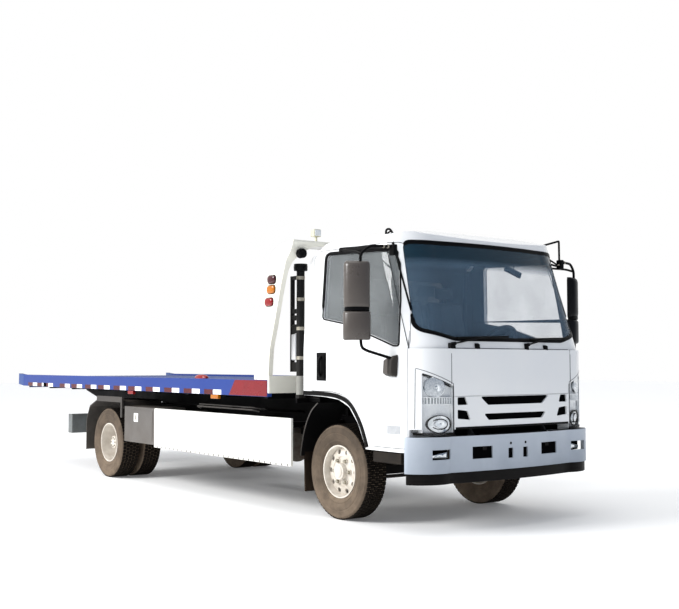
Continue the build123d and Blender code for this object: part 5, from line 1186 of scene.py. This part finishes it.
# Reflective tape: glass beads under clear film, so it is bright and slightly pebbled
tape_white = made_material("white_reflective_tape", "#f4f5f2", "#e6e8e6", 60, 1.2, 0.03, (0.15, 0.25),
                           coat=0.4)
tape_red = made_material("dark_red_reflective_tape", "#4a0f16", "#55141b", 60, 1.2, 0.03, (0.15, 0.25),
                         shine=0.3)
plate_red = made_material("red_plate_enamel", "#7d1820", "#6f151c", 240, 9, 0.03, (0.22, 0.35), shine=0.3)
white_starts = [-6.427, -6.104, -5.878, -5.331, -4.956, -4.540, -4.172, -3.744, -3.365, -2.936, -2.511,
                -2.091, -1.679]
white_long, red_long, tape_gap, tape_low, tape_high = 0.155, 0.17, 0.004, 1.012, 1.058
plate_corners = ((-1.382, 1.014), (-0.731, 1.014), (-0.731, 1.155), (-1.276, 1.155))
for side_name, side in sides:
    face = side * bed_half
    tape_back, tape_face = face - side * 0.0005, face + side * 0.0012
    whites, reds = bmesh.new(), bmesh.new()
    for start in white_starts:
        add_block(whites, (start, tape_back, tape_low), (start + white_long, tape_face, tape_high))
        add_block(reds, (start - red_long, tape_back, tape_low), (start - tape_gap, tape_face, tape_high))
    make_piece("white_tape_" + side_name, whites, tape_white, "bed", "bed_blue")
    make_piece("red_tape_" + side_name, reds, tape_red, "bed", "bed_blue")
    plate = bmesh.new()
    add_loft(plate, [[(x, face + side * out, z) for x, z in plate_corners] for out in (-0.0005, 0.0025)])
    make_piece("blank_side_plate_" + side_name, plate, plate_red, "bed", "bed_blue", 0.0008, 1)

# Chequer pattern: raised lens-shaped lugs in rows that cross at right angles
lugs, g_in, g_out = new_group("chequer_lugs", [
    ("Columns", "NodeSocketInt", 40), ("Rows", "NodeSocketInt", 20), ("Pitch", "NodeSocketFloat", 0.08),
    ("Lug", "NodeSocketVector", (0.027, 0.007, 0.003)), ("Place", "NodeSocketVector", (0, 0, 0)),
    ("Turn", "NodeSocketFloat", 0.7854)])
spans = {}
for size_name, count_name in (("Size X", "Columns"), ("Size Y", "Rows")):
    gaps = add_node(lugs, "ShaderNodeMath", {"operation": "SUBTRACT", 1: 1.0}, {0: g_in.outputs[count_name]})
    span = add_node(lugs, "ShaderNodeMath", {"operation": "MULTIPLY"},
                    {0: gaps.outputs[0], 1: g_in.outputs["Pitch"]})
    spans[size_name] = span.outputs[0]
deck_grid = add_node(lugs, "GeometryNodeMeshGrid", links={
    **spans, "Vertices X": g_in.outputs["Columns"], "Vertices Y": g_in.outputs["Rows"]})
lug_turn = add_node(lugs, "ShaderNodeCombineXYZ", links={2: g_in.outputs["Turn"]})
ball = add_node(lugs, "GeometryNodeMeshUVSphere", {"Segments": 6, "Rings": 4, "Radius": 1.0})
shaped = add_node(lugs, "GeometryNodeTransform", links={0: ball.outputs[0], "Scale": g_in.outputs["Lug"]})
lug_points = add_node(lugs, "GeometryNodeInstanceOnPoints", links={
    "Points": deck_grid.outputs[0], "Instance": shaped.outputs[0], "Rotation": lug_turn.outputs[0]})
laid = add_node(lugs, "GeometryNodeTransform",
                links={0: lug_points.outputs[0], "Translation": g_in.outputs["Place"]})
end_group(lugs, g_in, g_out, laid.outputs[0])
deck_front, deck_rear, deck_top = -1.30, -6.74, 1.135
pitch = 0.08
columns, rows_across = int((deck_front - deck_rear) / pitch), 26
for name, way, shift in (("deck_lugs_a", 1, 0.0), ("deck_lugs_b", -1, pitch / 2)):
    lug_place = ((deck_front + deck_rear) / 2 + shift / 2, shift - pitch / 4, deck_top)
    grown(name, lugs, {
        "Columns": columns, "Rows": rows_across, "Pitch": pitch, "Turn": way * math.pi / 4,
        "Place": lug_place}, deck_enamel, "bed")

# Small lamps: moulded red and amber lenses on the rails' faces
lens_red = made_material("red_lamp_lens", "#8c1214", "#780f10", 30, 6, 0.03, (0.08, 0.15), shine=0.5)
lens_amber = made_material("amber_lamp_lens", "#b56a0c", "#a85f09", 30, 6, 0.03, (0.08, 0.15), shine=0.5)
markers = (("rail_marker_amber_", lens_amber, -1.720, -1.580, 0.970),
           ("rail_marker_red_", lens_red, -3.540, -3.410, 0.972))
for side_name, side in sides:
    for name, material, rear, front, foot in markers:
        block_piece(name + side_name, [
            ((rear, side * (bed_half - 0.03), foot), (front, side * (bed_half + 0.004), 1.0085))],
            material, "bed", "lamp_red", 0.006, 3)
# The dome's rings: height and share of its oval
dome_x, dome_y, dome_long, dome_wide = -1.98, -1.105, 0.115, 0.045
dome_rings = ((1.156, 0.94), (1.168, 1.0), (1.182, 0.92), (1.194, 0.66), (1.199, 0.30), (1.2, 0.04))
dome_turns = [2 * math.pi * k / 28 for k in range(28)]
dome = bmesh.new()
add_loft(dome, [[(dome_x + dome_long * share * math.cos(a), dome_y + dome_wide * share * math.sin(a), z)
                 for a in dome_turns] for z, share in dome_rings])
make_piece("rail_dome_lamp", dome, lens_red, "bed", "lamp_red", crease=60)

# ------------------------------------------------------------------ headboard arch and its lamps
# One-piece fabricated arch of folded sheet, sprayed cream-white, with three lamps a side,
# two small work lamps on top and a black lamp in each front corner.
arch_enamel = made_material("cream_arch_enamel", "#f0eee2", "#e6e3d6", 600, 18, 0.03, (0.25, 0.38),
                            coat=0.25, dust_and_shade_share=0.08, dust_and_shade_top=1.5)
softened("headboard_arch", "arch_sheet", arch_enamel, 0.007, 3, 32)
dark_red = made_material("dark_red_lamp_lens", "#420f17", "#380c12", 30, 6, 0.03, (0.08, 0.15), shine=0.5)
lamp_places = [("dark_red", dark_red, -0.659, 2.049), ("amber", lens_amber, -0.668, 1.961),
               ("red", lens_red, -0.700, 1.851)]
# Rows of an oblong: distance out from the arch's side and share of its size
lens_rows = ((0.0004, 1.0), (0.010, 0.98), (0.017, 0.85), (0.021, 0.55), (0.022, 0.1))
gasket_rows = ((0.0003, 1.0), (0.004, 0.98))


def add_oblong(shell, side, x, z, half_long, half_high, corner, rows):
    """A rounded oblong that stands out from the arch's side at (x, z)."""
    quarters = ((-1, -1), (1, -1), (1, 1), (-1, 1))
    add_loft(shell, [[(x + p.x, side * (bed_half + out), z + p.y) for p in rounded_outline(
        [(u * half_long * share, v * half_high * share, corner * share) for u, v in quarters])]
        for out, share in rows])


for name, material, x, z in lamp_places:
    for side_name, side in sides:
        lens = bmesh.new()
        add_oblong(lens, side, x, z, 0.062, 0.036, 0.034, lens_rows)
        make_piece(f"arch_lamp_{name}_{side_name}", lens, material, "bed", "lamp_red", crease=60,
                   stands_for=["arch_lamps"] if (name, side) == ("red", 1) else ())
        ring = bmesh.new()
        add_oblong(ring, side, x, z, 0.068, 0.041, 0.038, gasket_rows)
        make_piece(f"arch_lamp_gasket_{name}_{side_name}", ring, black_trim_and_shade, "bed", "lamp_red", crease=60)
# Work lamps: small die-cast housings with clear fronts, on stalks on the arch's top
work_housing = made_material("beige_work_lamp_casting", "#cfcdb8", "#b9b7a2", 40, 3, 0.08, (0.35, 0.5))
for side_name, side in sides:
    block_piece("work_lamp_housing_" + side_name, [
        ((-0.468, side * 0.792, 2.432), (-0.408, side * 0.868, 2.4985)),
        ((-0.447, side * 0.822, 2.362), (-0.423, side * 0.838, 2.436))],
        work_housing, "bed", "work_lamp_beige", 0.006, 3, stands_for=["work_lamps"] if side > 0 else ())
    block_piece("work_lamp_glass_" + side_name, [
        ((-0.4085, side * 0.798, 2.438), (-0.4035, side * 0.862, 2.492))],
        lens_white_highlight, "bed", "work_lamp_beige", 0.004, 3)
    tube_piece("corner_lamp_" + side_name, [
        ([(x, side * 1.052, 2.262) for x in (-0.372, -0.318)], 0.042, 28),
        ([(x, side * 1.052, 2.262) for x in (-0.380, -0.372)], 0.020, 16)],
        black_trim_and_shade, "bed", "work_lamp_beige", 0.004, 3)

# ------------------------------------------------------------------ ladder rack and air intake
# Black steel duct with a rain cap and a grey rubber boot on its foot, tied to a short ladder
# that stands on the cab's rear rest; a pale reservoir hangs between two of the rungs.
duct_x, duct_y, clamp_radius = -0.53, -0.93, 0.0385
rack_black = made_material("black_rack_enamel", "#060607", "#0d0d0e", 200, 8, 0.12, (0.38, 0.55),
                           dust_and_shade_share=0.05, dust_and_shade_top=2.0, shine=0.2)
softened("air_intake", "intake_and_ladder", rack_black, 0.004, 2, 32)
# Boot over the duct's foot: pale grey moulded rubber
boot_rubber = made_material("pale_grey_boot_rubber", "#8d8c86", "#83827c", 80, 4, 0.1, (0.5, 0.7))
for name, feet, high, radius, material in (
        ("rain_cap_fins", (2.143, 2.156, 2.169), 0.005, 0.0635, rack_black),
        ("duct_clamps", (1.34, 1.60, 1.86, 2.05), 0.03, clamp_radius, zinc_plate),
        ("duct_boot", (1.031,), 0.165, clamp_radius, boot_rubber)):
    tube_piece(name, [([(duct_x, duct_y, z), (duct_x, duct_y, z + high)], radius, 32) for z in feet],
               material, "chassis", "black_plastic", 0.001, 1)
pale_plastic = made_material("pale_reservoir_plastic", "#d9dadb", "#c9cbcc", 120, 9, 0.05, (0.3, 0.45),
                             dust_and_shade_share=0.1, dust_and_shade_top=2.0)
block_piece("washer_reservoir", [((-0.640, -0.958, 1.335), (-0.572, -0.902, 1.568))], pale_plastic,
            "chassis", "black_plastic", 0.012, 4)

# ------------------------------------------------------------------ side guards and boxes
# Sheet-steel guards sprayed white over their rolled edges, grey lockers with a latched door,
# black plastic wings over the rear wheels, and a bare plate low on each cab door.
guard_enamel = made_material("white_guard_enamel", "#f2f1ea", "#e9e8e2", 700, 22, 0.03, (0.25, 0.4),
                             coat=0.25, dust_and_shade_share=0.10, dust_and_shade_top=0.8)
guard_y, guard_inside = 1.1, 1.085
# The guards' inside faces and brackets, white like the rest, take the chassis black as painted shade
softened("side_guards", "guard_sheets", guard_enamel, 0.006, 3, 32, chassis_black_and_shade,
         lambda c, n: abs(c.y) < guard_inside)
# Grey locker enamel; on the arch liners' lips this grey is a painted highlight
grey_enamel_and_highlight = made_material("grey_locker_enamel_and_lip_highlight", "#56524f", "#4a4744", 300, 8, 0.12, (0.35, 0.55),
                         dust_and_shade_share=0.2, dust_and_shade_top=1.0)
# Bare badge and small plates: anodised aluminium, brushed and left blank
badge_grey = made_material("blank_brushed_badge", "#b9bbbe", "#a9acb0", 40, 1.5, 0.02, (0.3, 0.45), 0.4)
softened("tool_boxes", "lockers", grey_enamel_and_highlight, 0.006, 3, 32)
mudguard_black = made_material("mudguard_plastic", "#2c2a29", "#3a3735", 200, 6, 0.15, (0.5, 0.7),
                               dust_and_shade_share=0.3, dust_and_shade_top=1.2)
softened("rear_mudguards", "rear_wings", mudguard_black, 0.003, 2, 32)
# Rivets or bolts in a straight row, domed heads that face along Y
studs_line, r_in, r_out = new_group("row_of_rivets", [
    ("Count", "NodeSocketInt", 10), ("Step", "NodeSocketVector", (0.1, 0, 0)),
    ("Radius", "NodeSocketFloat", 0.006), ("Place", "NodeSocketVector", (0, 0, 0))])
row = add_node(studs_line, "GeometryNodeMeshLine", links={
    "Count": r_in.outputs["Count"], "Start Location": r_in.outputs["Place"], "Offset": r_in.outputs["Step"]})
head = add_node(studs_line, "GeometryNodeMeshUVSphere", {"Segments": 10, "Rings": 6},
                {"Radius": r_in.outputs["Radius"]})
flat_head = add_node(studs_line, "GeometryNodeTransform", {"Scale": (1, 0.45, 1)}, {0: head.outputs[0]})
heads = add_node(studs_line, "GeometryNodeInstanceOnPoints",
                 links={"Points": row.outputs[0], "Instance": flat_head.outputs[0]})
end_group(studs_line, r_in, r_out, heads.outputs[0])
guard_front, guard_rear, guard_low, guard_high = -0.433, -3.0, 0.416, 0.831
tool_rear, tool_front = -3.735, -3.010
door_outline = rounded_outline([(tool_rear + 0.04, 0.475, 0.02), (tool_front - 0.04, 0.475, 0.02),
                                (tool_front - 0.04, 0.800, 0.02), (tool_rear + 0.04, 0.800, 0.02)])
badge_line = [(x, 0.7925) for x in stops(0.748, 0.896, 4)]
for side_name, side in sides:
    face = side * guard_y
    # Rolled rims along the guard's foot and head, with rivets and a row of small black domes along the foot
    rim_y = face - side * 0.002
    tube_piece("guard_rolled_edges_" + side_name, [
        ([(guard_rear + 0.01, rim_y, z), (guard_front - 0.01, rim_y, z)], 0.0045, 10)
        for z in (guard_low + 0.012, guard_high - 0.012)], guard_enamel, "chassis", "guard_white", crease=60)
    for name, count, step, radius, x, y, z, finish in (
            ("guard_rivets_low_", 26, 0.0996, 0.006, -2.96, face, guard_low + 0.035, zinc_plate),
            ("guard_foot_dots_", 28, 0.0905, 0.010, -2.92, face - side * 0.001, guard_low + 0.012, black_trim_and_shade)):
        grown(name + side_name, studs_line, {
            "Count": count, "Step": (step, 0, 0), "Radius": radius, "Place": (x, y, z)}, finish, "chassis")
    badge = bmesh.new()
    rows, section = laid_strip(tree_of("door_" + side_name), badge_line, side, 0.066, 0.0022, 0.002)
    add_band(badge, rows, section, closed=False)
    make_piece("bare_door_badge_" + side_name, badge, badge_grey, "door_" + side_name, "black_plastic",
               crease=50)
    door = bmesh.new()
    add_loft(door, [[(p.x, side * out, p.y) for p in door_outline] for out in (1.094, 1.099)])
    make_piece("locker_door_" + side_name, door, grey_enamel_and_highlight, "chassis", "tool_box_grey", 0.002, 2)
    block_piece("latch_plate_" + side_name, [((-3.485, side * 1.0985, 0.668),
                                              (-3.384, side * 1.1030, 0.762))],
                tape_white, "chassis", "tool_box_grey", 0.006, 3)
    block_piece("latch_paddle_" + side_name, [((-3.450, side * 1.102, 0.690),
                                               (-3.420, side * 1.1045, 0.742))],
                zinc_plate, "chassis", "tool_box_grey", 0.0015, 2)

# ------------------------------------------------------------------ tank, tail, winch and dash
# Bright aluminium tank in two steel straps, a black battery tray, an aluminised silencer,
# the grey tail bar with its lamps, rubber flaps, plastic steps and liners, the winch with
# its cheeks bolted on, the chromed tilt rods, and the grained dash with its wheel.
tank_metal = made_material("brushed_tank_aluminium", "#b8bbbd", "#9ea2a5", 200, 5, 0.06, (0.25, 0.4), 0.9,
                           dust_and_shade_share=0.35, dust_and_shade_top=0.9)
softened("fuel_tank", "tank_shell", tank_metal, 0.004, 2, 32)
strap_face = rounded_outline([(0.466, 0.396, 0.064), (1.034, 0.396, 0.064), (1.034, 0.704, 0.064),
                              (0.466, 0.704, 0.064)])
strap_back = rounded_outline([(0.471, 0.401, 0.06), (1.029, 0.401, 0.06), (1.029, 0.699, 0.06),
                              (0.471, 0.699, 0.06)])
strap_section = [(0.0, -0.025), (0.0, 0.025), (-0.006, 0.025), (-0.006, -0.025)]
straps = bmesh.new()
for x in (-2.40, -2.00):
    add_band(straps, [(Vector((x, p.x, p.y)), Vector((0, p.x - q.x, p.y - q.y)).normalized(),
                       Vector((1, 0, 0)))
                      for p, q in zip(strap_face, strap_back)], strap_section)
make_piece("tank_straps", straps, rack_black, "chassis", "tank_aluminium", crease=40)
tube_piece("filler_cap", [([(-1.99, 0.80, 0.699), (-1.99, 0.80, 0.728)], 0.045, 32)], black_trim_and_shade, "chassis",
           "tank_aluminium", 0.004, 2)
battery_black = made_material("battery_box_polymer", "#151516", "#202021", 150, 4, 0.2, (0.45, 0.65),
                              dust_and_shade_share=0.4, dust_and_shade_top=0.8)
softened("battery_box", "battery_tray", battery_black, 0.006, 2, 32)
exhaust_steel = made_material("aluminised_exhaust_steel", "#7c7770", "#5c4d41", 90, 5, 0.15, (0.4, 0.65),
                              0.8, dust_and_shade_share=0.35, dust_and_shade_top=0.9)
softened("silencer", "silencer_body", exhaust_steel, 0.004, 2, 32)
tube_piece("silencer_bands", [
    ([(x - 0.012, -0.62, 0.52), (x + 0.012, -0.62, 0.52)], 0.1325, 40) for x in (-1.03, -1.30, -1.57)],
    exhaust_steel, "chassis", "silencer_steel", 0.001, 1)
tail_grey = made_material("grey_tail_enamel", "#6f7678", "#565b5d", 200, 6, 0.15, (0.4, 0.6),
                          dust_and_shade_share=0.25, dust_and_shade_top=1.0)
softened("tail_bar", "tail_beam", tail_grey, 0.006, 2, 32)
tail_red = made_material("tail_lamp_lens", "#9c1a1c", "#84110f", 40, 8, 0.04, (0.08, 0.18), coat=0.5)
softened("tail_lamps", "tail_lamp_lenses", tail_red, 0.005, 2, 32)
flap_rubber = made_material("mudflap_rubber", "#1a1410", "#241c16", 120, 5, 0.2, (0.7, 0.85), dust_and_shade="#5a4a3a",
                            dust_and_shade_share=0.35, dust_and_shade_top=0.7, shine=0.1)
softened("front_mudflaps", "front_flaps", flap_rubber, 0.003, 2, 32)
step_black = made_material("step_tread_plastic", "#0d0b0a", "#171412", 120, 5, 0.2, (0.5, 0.7),
                           dust_and_shade="#6b5f52", dust_and_shade_share=0.25, dust_and_shade_top=0.9, shine=0.12)
softened("cab_steps", "cab_step_wells", step_black, 0.005, 2, 32)
# Wheel-arch liners: thin black mouldings behind the front wheels, with a rolled outer lip drawn in grey as a
# painted highlight;
# two air pipes run back from them along each rail, as (place across, height, radius)
curve = smooth_line([(-0.215, 0.968), (-0.321, 0.885), (-0.410, 0.735), (-0.462, 0.560), (-0.468, 0.500)], 5)
liner_inner, liner_outer, liner_thick = 0.60, 0.968, 0.005
pipe_places = ((0.955, 0.874, 0.008), (0.935, 0.896, 0.006))
for side_name, side in sides:
    liner = bmesh.new()
    rings = []
    for index, (x, z) in enumerate(curve):
        before, after = curve[max(index - 1, 0)], curve[min(index + 1, len(curve) - 1)]
        away = Vector((after[1] - before[1], 0, before[0] - after[0])).normalized() * liner_thick
        rings.append([Vector((x, side * y, z)) + away * share for y, share in (
            (liner_inner, 0), (liner_outer, 0), (liner_outer, 1), (liner_inner, 1))])
    add_loft(liner, rings)
    make_piece("arch_liner_" + side_name, liner, chassis_black_and_shade, "chassis", "mudflap_rubber", crease=40)
    lip = [(x, side * liner_outer, z) for x, z in curve]
    tube_piece("arch_liner_lip_" + side_name, [(lip, 0.005, 8)], grey_enamel_and_highlight, "chassis", "mudflap_rubber",
               crease=60)
    tube_piece("air_pipes_" + side_name, [
        ([(-2.36, side * (y - 0.06), z - 0.02), (-2.33, side * y, z), (-1.28, side * y, z - 0.004),
          (-1.25, side * (y - 0.06), z - 0.02)], radius, 10, 0.02) for y, z, radius in pipe_places],
        grey_enamel_and_highlight, "chassis", "chassis_black", crease=60)
paint_nodes(["wipers"], black_trim_and_shade)
winch_grey = made_material("winch_casting_enamel", "#4b4f52", "#3b3e41", 90, 4, 0.2, (0.4, 0.6), 0.3,
                           dust_and_shade_share=0.2, dust_and_shade_top=1.6)
softened("winch", "winch_frame", winch_grey, 0.004, 2, 32)
# Winch drum: machined cheeks with bolt rings, tie bars across the frame and a bare barrel
winch_x, winch_z = -1.0, 1.30
cheek_profile = [(0.079, 0.195), (0.128, 0.195), (0.128, 0.206), (0.079, 0.206)]
cheeks = bmesh.new()
for side in (1, -1):
    add_lathe(cheeks, cheek_profile, (winch_x, 0, winch_z, side), 48)
tie_spread, tie_half, tie_z = 0.086011, 0.214, winch_z + 0.132
for x in (winch_x + tie_spread, winch_x, winch_x - tie_spread):
    add_tube(cheeks, [(x, -tie_half, tie_z), (x, tie_half, tie_z)], 0.007, 12)
make_piece("winch_cheeks", cheeks, winch_grey, "bed", "winch_grey", 0.001, 1)
for number, (y, circle, count) in enumerate(((0.238, 0.085, 8), (-0.238, 0.085, 8), (0.323, 0.070, 10))):
    grown(f"winch_bolts_{number}", studs, {
        "Count": count, "Circle": circle, "Radius": 0.008, "Height": 0.010,
        "Place": (winch_x, y, winch_z)}, zinc_plate, "bed")
rod_chrome = made_material("hard_chromed_rod", "#d5d8da", "#c2c6c9", 40, 12, 0.01, (0.08, 0.15), 1.0)
barrel_black = made_material("cylinder_barrel_enamel", "#151515", "#1f1f20", 180, 6, 0.1, (0.35, 0.5),
                             dust_and_shade_share=0.3, dust_and_shade_top=0.9)
paint_nodes(["tilt_rods"], rod_chrome)
paint_nodes(["tilt_barrels"], barrel_black)
dash_grey = made_material("grained_dash_plastic", "#2d3034", "#26292c", 150, 1.8, 0.2, (0.5, 0.7))
softened("dashboard", "dash_moulding", dash_grey, 0.006, 2, 32)
softened("steering_wheel", "steering_rim_and_column", dash_grey, 0.002, 2, 40)

# ------------------------------------------------------------------ seats
# Foam pads in woven cloth on grained plinths: each seat has a cushion and a back with two
# sewn channels, and a head pad, all with corded edges. The mate's bench is two such seats.
cloth_grey = made_material("woven_seat_cloth", "#3b4048", "#31353c", 90, 1.2, 0.25, (0.85, 0.95))
piping_black = made_material("seat_piping_vinyl", "#101113", "#18191b", 60, 2, 0.1, (0.5, 0.65), shine=0.2)
voxel, swell_frames = 0.006, 20


def pad_mesh(name, corners, half, cap, channels):
    """A stuffed pad on the truck's middle line: a rounded block of (x, z) corners, meshed
    evenly, swollen as cloth no further than cap, then drawn in along sewn channels."""
    shell = bmesh.new()
    add_loft(shell, [[(x, y, z) for x, z in corners] for y in (-half, half)])
    bmesh.ops.recalc_face_normals(shell, faces=shell.faces)
    bmesh.ops.bevel(shell, geom=shell.edges[:], offset=0.026, segments=4, profile=0.6, affect="EDGES")
    mesh = bpy.data.meshes.new(name)
    shell.to_mesh(mesh)
    shell.free()
    form = bpy.data.objects.new(name + "_form", mesh)
    bpy.context.scene.collection.objects.link(form)
    remesh = form.modifiers.new("even_mesh", "REMESH")
    remesh.mode = "VOXEL"
    remesh.voxel_size = voxel
    even = bpy.data.meshes.new_from_object(form.evaluated_get(bpy.context.evaluated_depsgraph_get()))
    form.modifiers.clear()
    form.data = even
    start = [v.co.copy() for v in even.vertices]
    cloth = form.modifiers.new("swell", "CLOTH")
    cloth.settings.use_pressure = True
    cloth.settings.uniform_pressure_force = 4.0
    cloth.settings.effector_weights.gravity = 0.0
    cloth.point_cache.frame_end = swell_frames
    for step in range(1, swell_frames + 1):
        bpy.context.scene.frame_set(step)
    swollen = bpy.data.meshes.new_from_object(form.evaluated_get(bpy.context.evaluated_depsgraph_get()))
    for vertex, before, after in zip(even.vertices, start, swollen.vertices):
        move = after.co - before
        vertex.co = before + move * min(1.0, cap / max(move.length, 1e-9))
    bpy.context.scene.frame_set(1)
    normals = [v.normal.copy() for v in even.vertices]
    for vertex, normal in zip(even.vertices, normals):
        drawn = sum(math.exp(-((vertex.co.y - y) / 0.010) ** 2) for y in channels)
        vertex.co -= normal * 0.006 * drawn * max(0.0, abs(normal.x) + abs(normal.z) - 0.4)
    bpy.data.objects.remove(form)
    return even


seat_half = 0.222
pad_kinds = [
    ("cushion", [(-0.050, 1.195), (0.300, 1.195), (0.306, 1.270), (-0.052, 1.252)], seat_half,
     (-0.085, 0.085), 0.75),
    ("back", [(-0.178, 1.200), (-0.078, 1.200), (-0.188, 1.885), (-0.238, 1.885)], seat_half - 0.006,
     (-0.08, 0.08), 0.7),
    ("head_pad", [(-0.238, 1.912), (-0.195, 1.912), (-0.208, 2.025), (-0.246, 2.025)], 0.108, (), 0.8),
]
seat_spots = [("driver", 0.510), ("mate", -0.505), ("middle", -0.015)]
cord_radius, cord_lift, cord_places = 0.0035, 0.001, 60
cord_section = [(cord_radius * math.cos(2 * math.pi * k / 8),
                 cord_lift + cord_radius * math.sin(2 * math.pi * k / 8)) for k in range(8)]
plinths = bmesh.new()
for seat_name, y in seat_spots:
    add_block(plinths, (-0.18, y - 0.19, 1.0755), (0.27, y + 0.19, 1.168))
    for stem in (-0.05, 0.05):
        add_tube(plinths, [(-0.214, y + stem, 1.86), (-0.222, y + stem, 1.94)], 0.005, 10)
for kind, corners, half, channels, fill in pad_kinds:
    pad = pad_mesh("seat_" + kind, corners, half, 0.012, channels)
    tree = BVHTree.FromPolygons([v.co for v in pad.vertices], [tuple(p.vertices) for p in pad.polygons])
    raised = [Vector((x, 0, z)) for x, z in corners]
    middle = sum(raised, Vector()) / 4
    # The corded edge runs round the pad where its face turns into its side: rays come in on it
    # level with the cushion's top edge, or in the plane of a back's or head pad's lean
    lean = (raised[2] - raised[1]).normalized()
    face_middle = middle + Vector((0.012, 0, 0))
    loop = []
    for k in range(cord_places):
        a = 2 * math.pi * k / cord_places
        if kind == "cushion":
            spot = Vector((middle.x + 0.5 * math.cos(a), 0.5 * math.sin(a), 1.257))
            way = Vector((-math.cos(a), -math.sin(a), 0))
        else:
            spot = face_middle + lean * 0.8 * math.cos(a) + Vector((0, 0.8 * math.sin(a), 0))
            way = (face_middle - spot).normalized()
        hit = tree.ray_cast(spot, way)[0]
        if hit:
            loop.append((hit, -way))
    for seat_name, y in seat_spots:
        mesh = pad.copy()
        mesh.transform(Matrix.Translation((axle_x, y, 0)))
        piece = link_piece(f"{seat_name}_{kind}", mesh, cloth_grey, "cab", 60)
        fine = piece.modifiers.new("finer", "SUBSURF")
        fine.levels = fine.render_levels = 1
        if (seat_name, kind) == ("driver", "cushion"):
            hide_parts("seats")
        cord = bmesh.new()
        rows = []
        for index, (spot, out) in enumerate(loop):
            run = (loop[(index + 1) % len(loop)][0] - loop[index - 1][0]).normalized()
            rows.append((spot + Vector((0, y, 0)), run.cross(out).normalized(), out))
        add_band(cord, rows, cord_section)
        make_piece(f"{seat_name}_{kind}_piping", cord, piping_black, "cab", "seat_cloth", crease=60)
make_piece("seat_plinths", plinths, dash_grey, "cab", "seat_cloth", 0.006, 2)
size = {"cad": [list(cad_low), list(cad_high)], "visual": [list(corner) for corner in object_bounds()]}
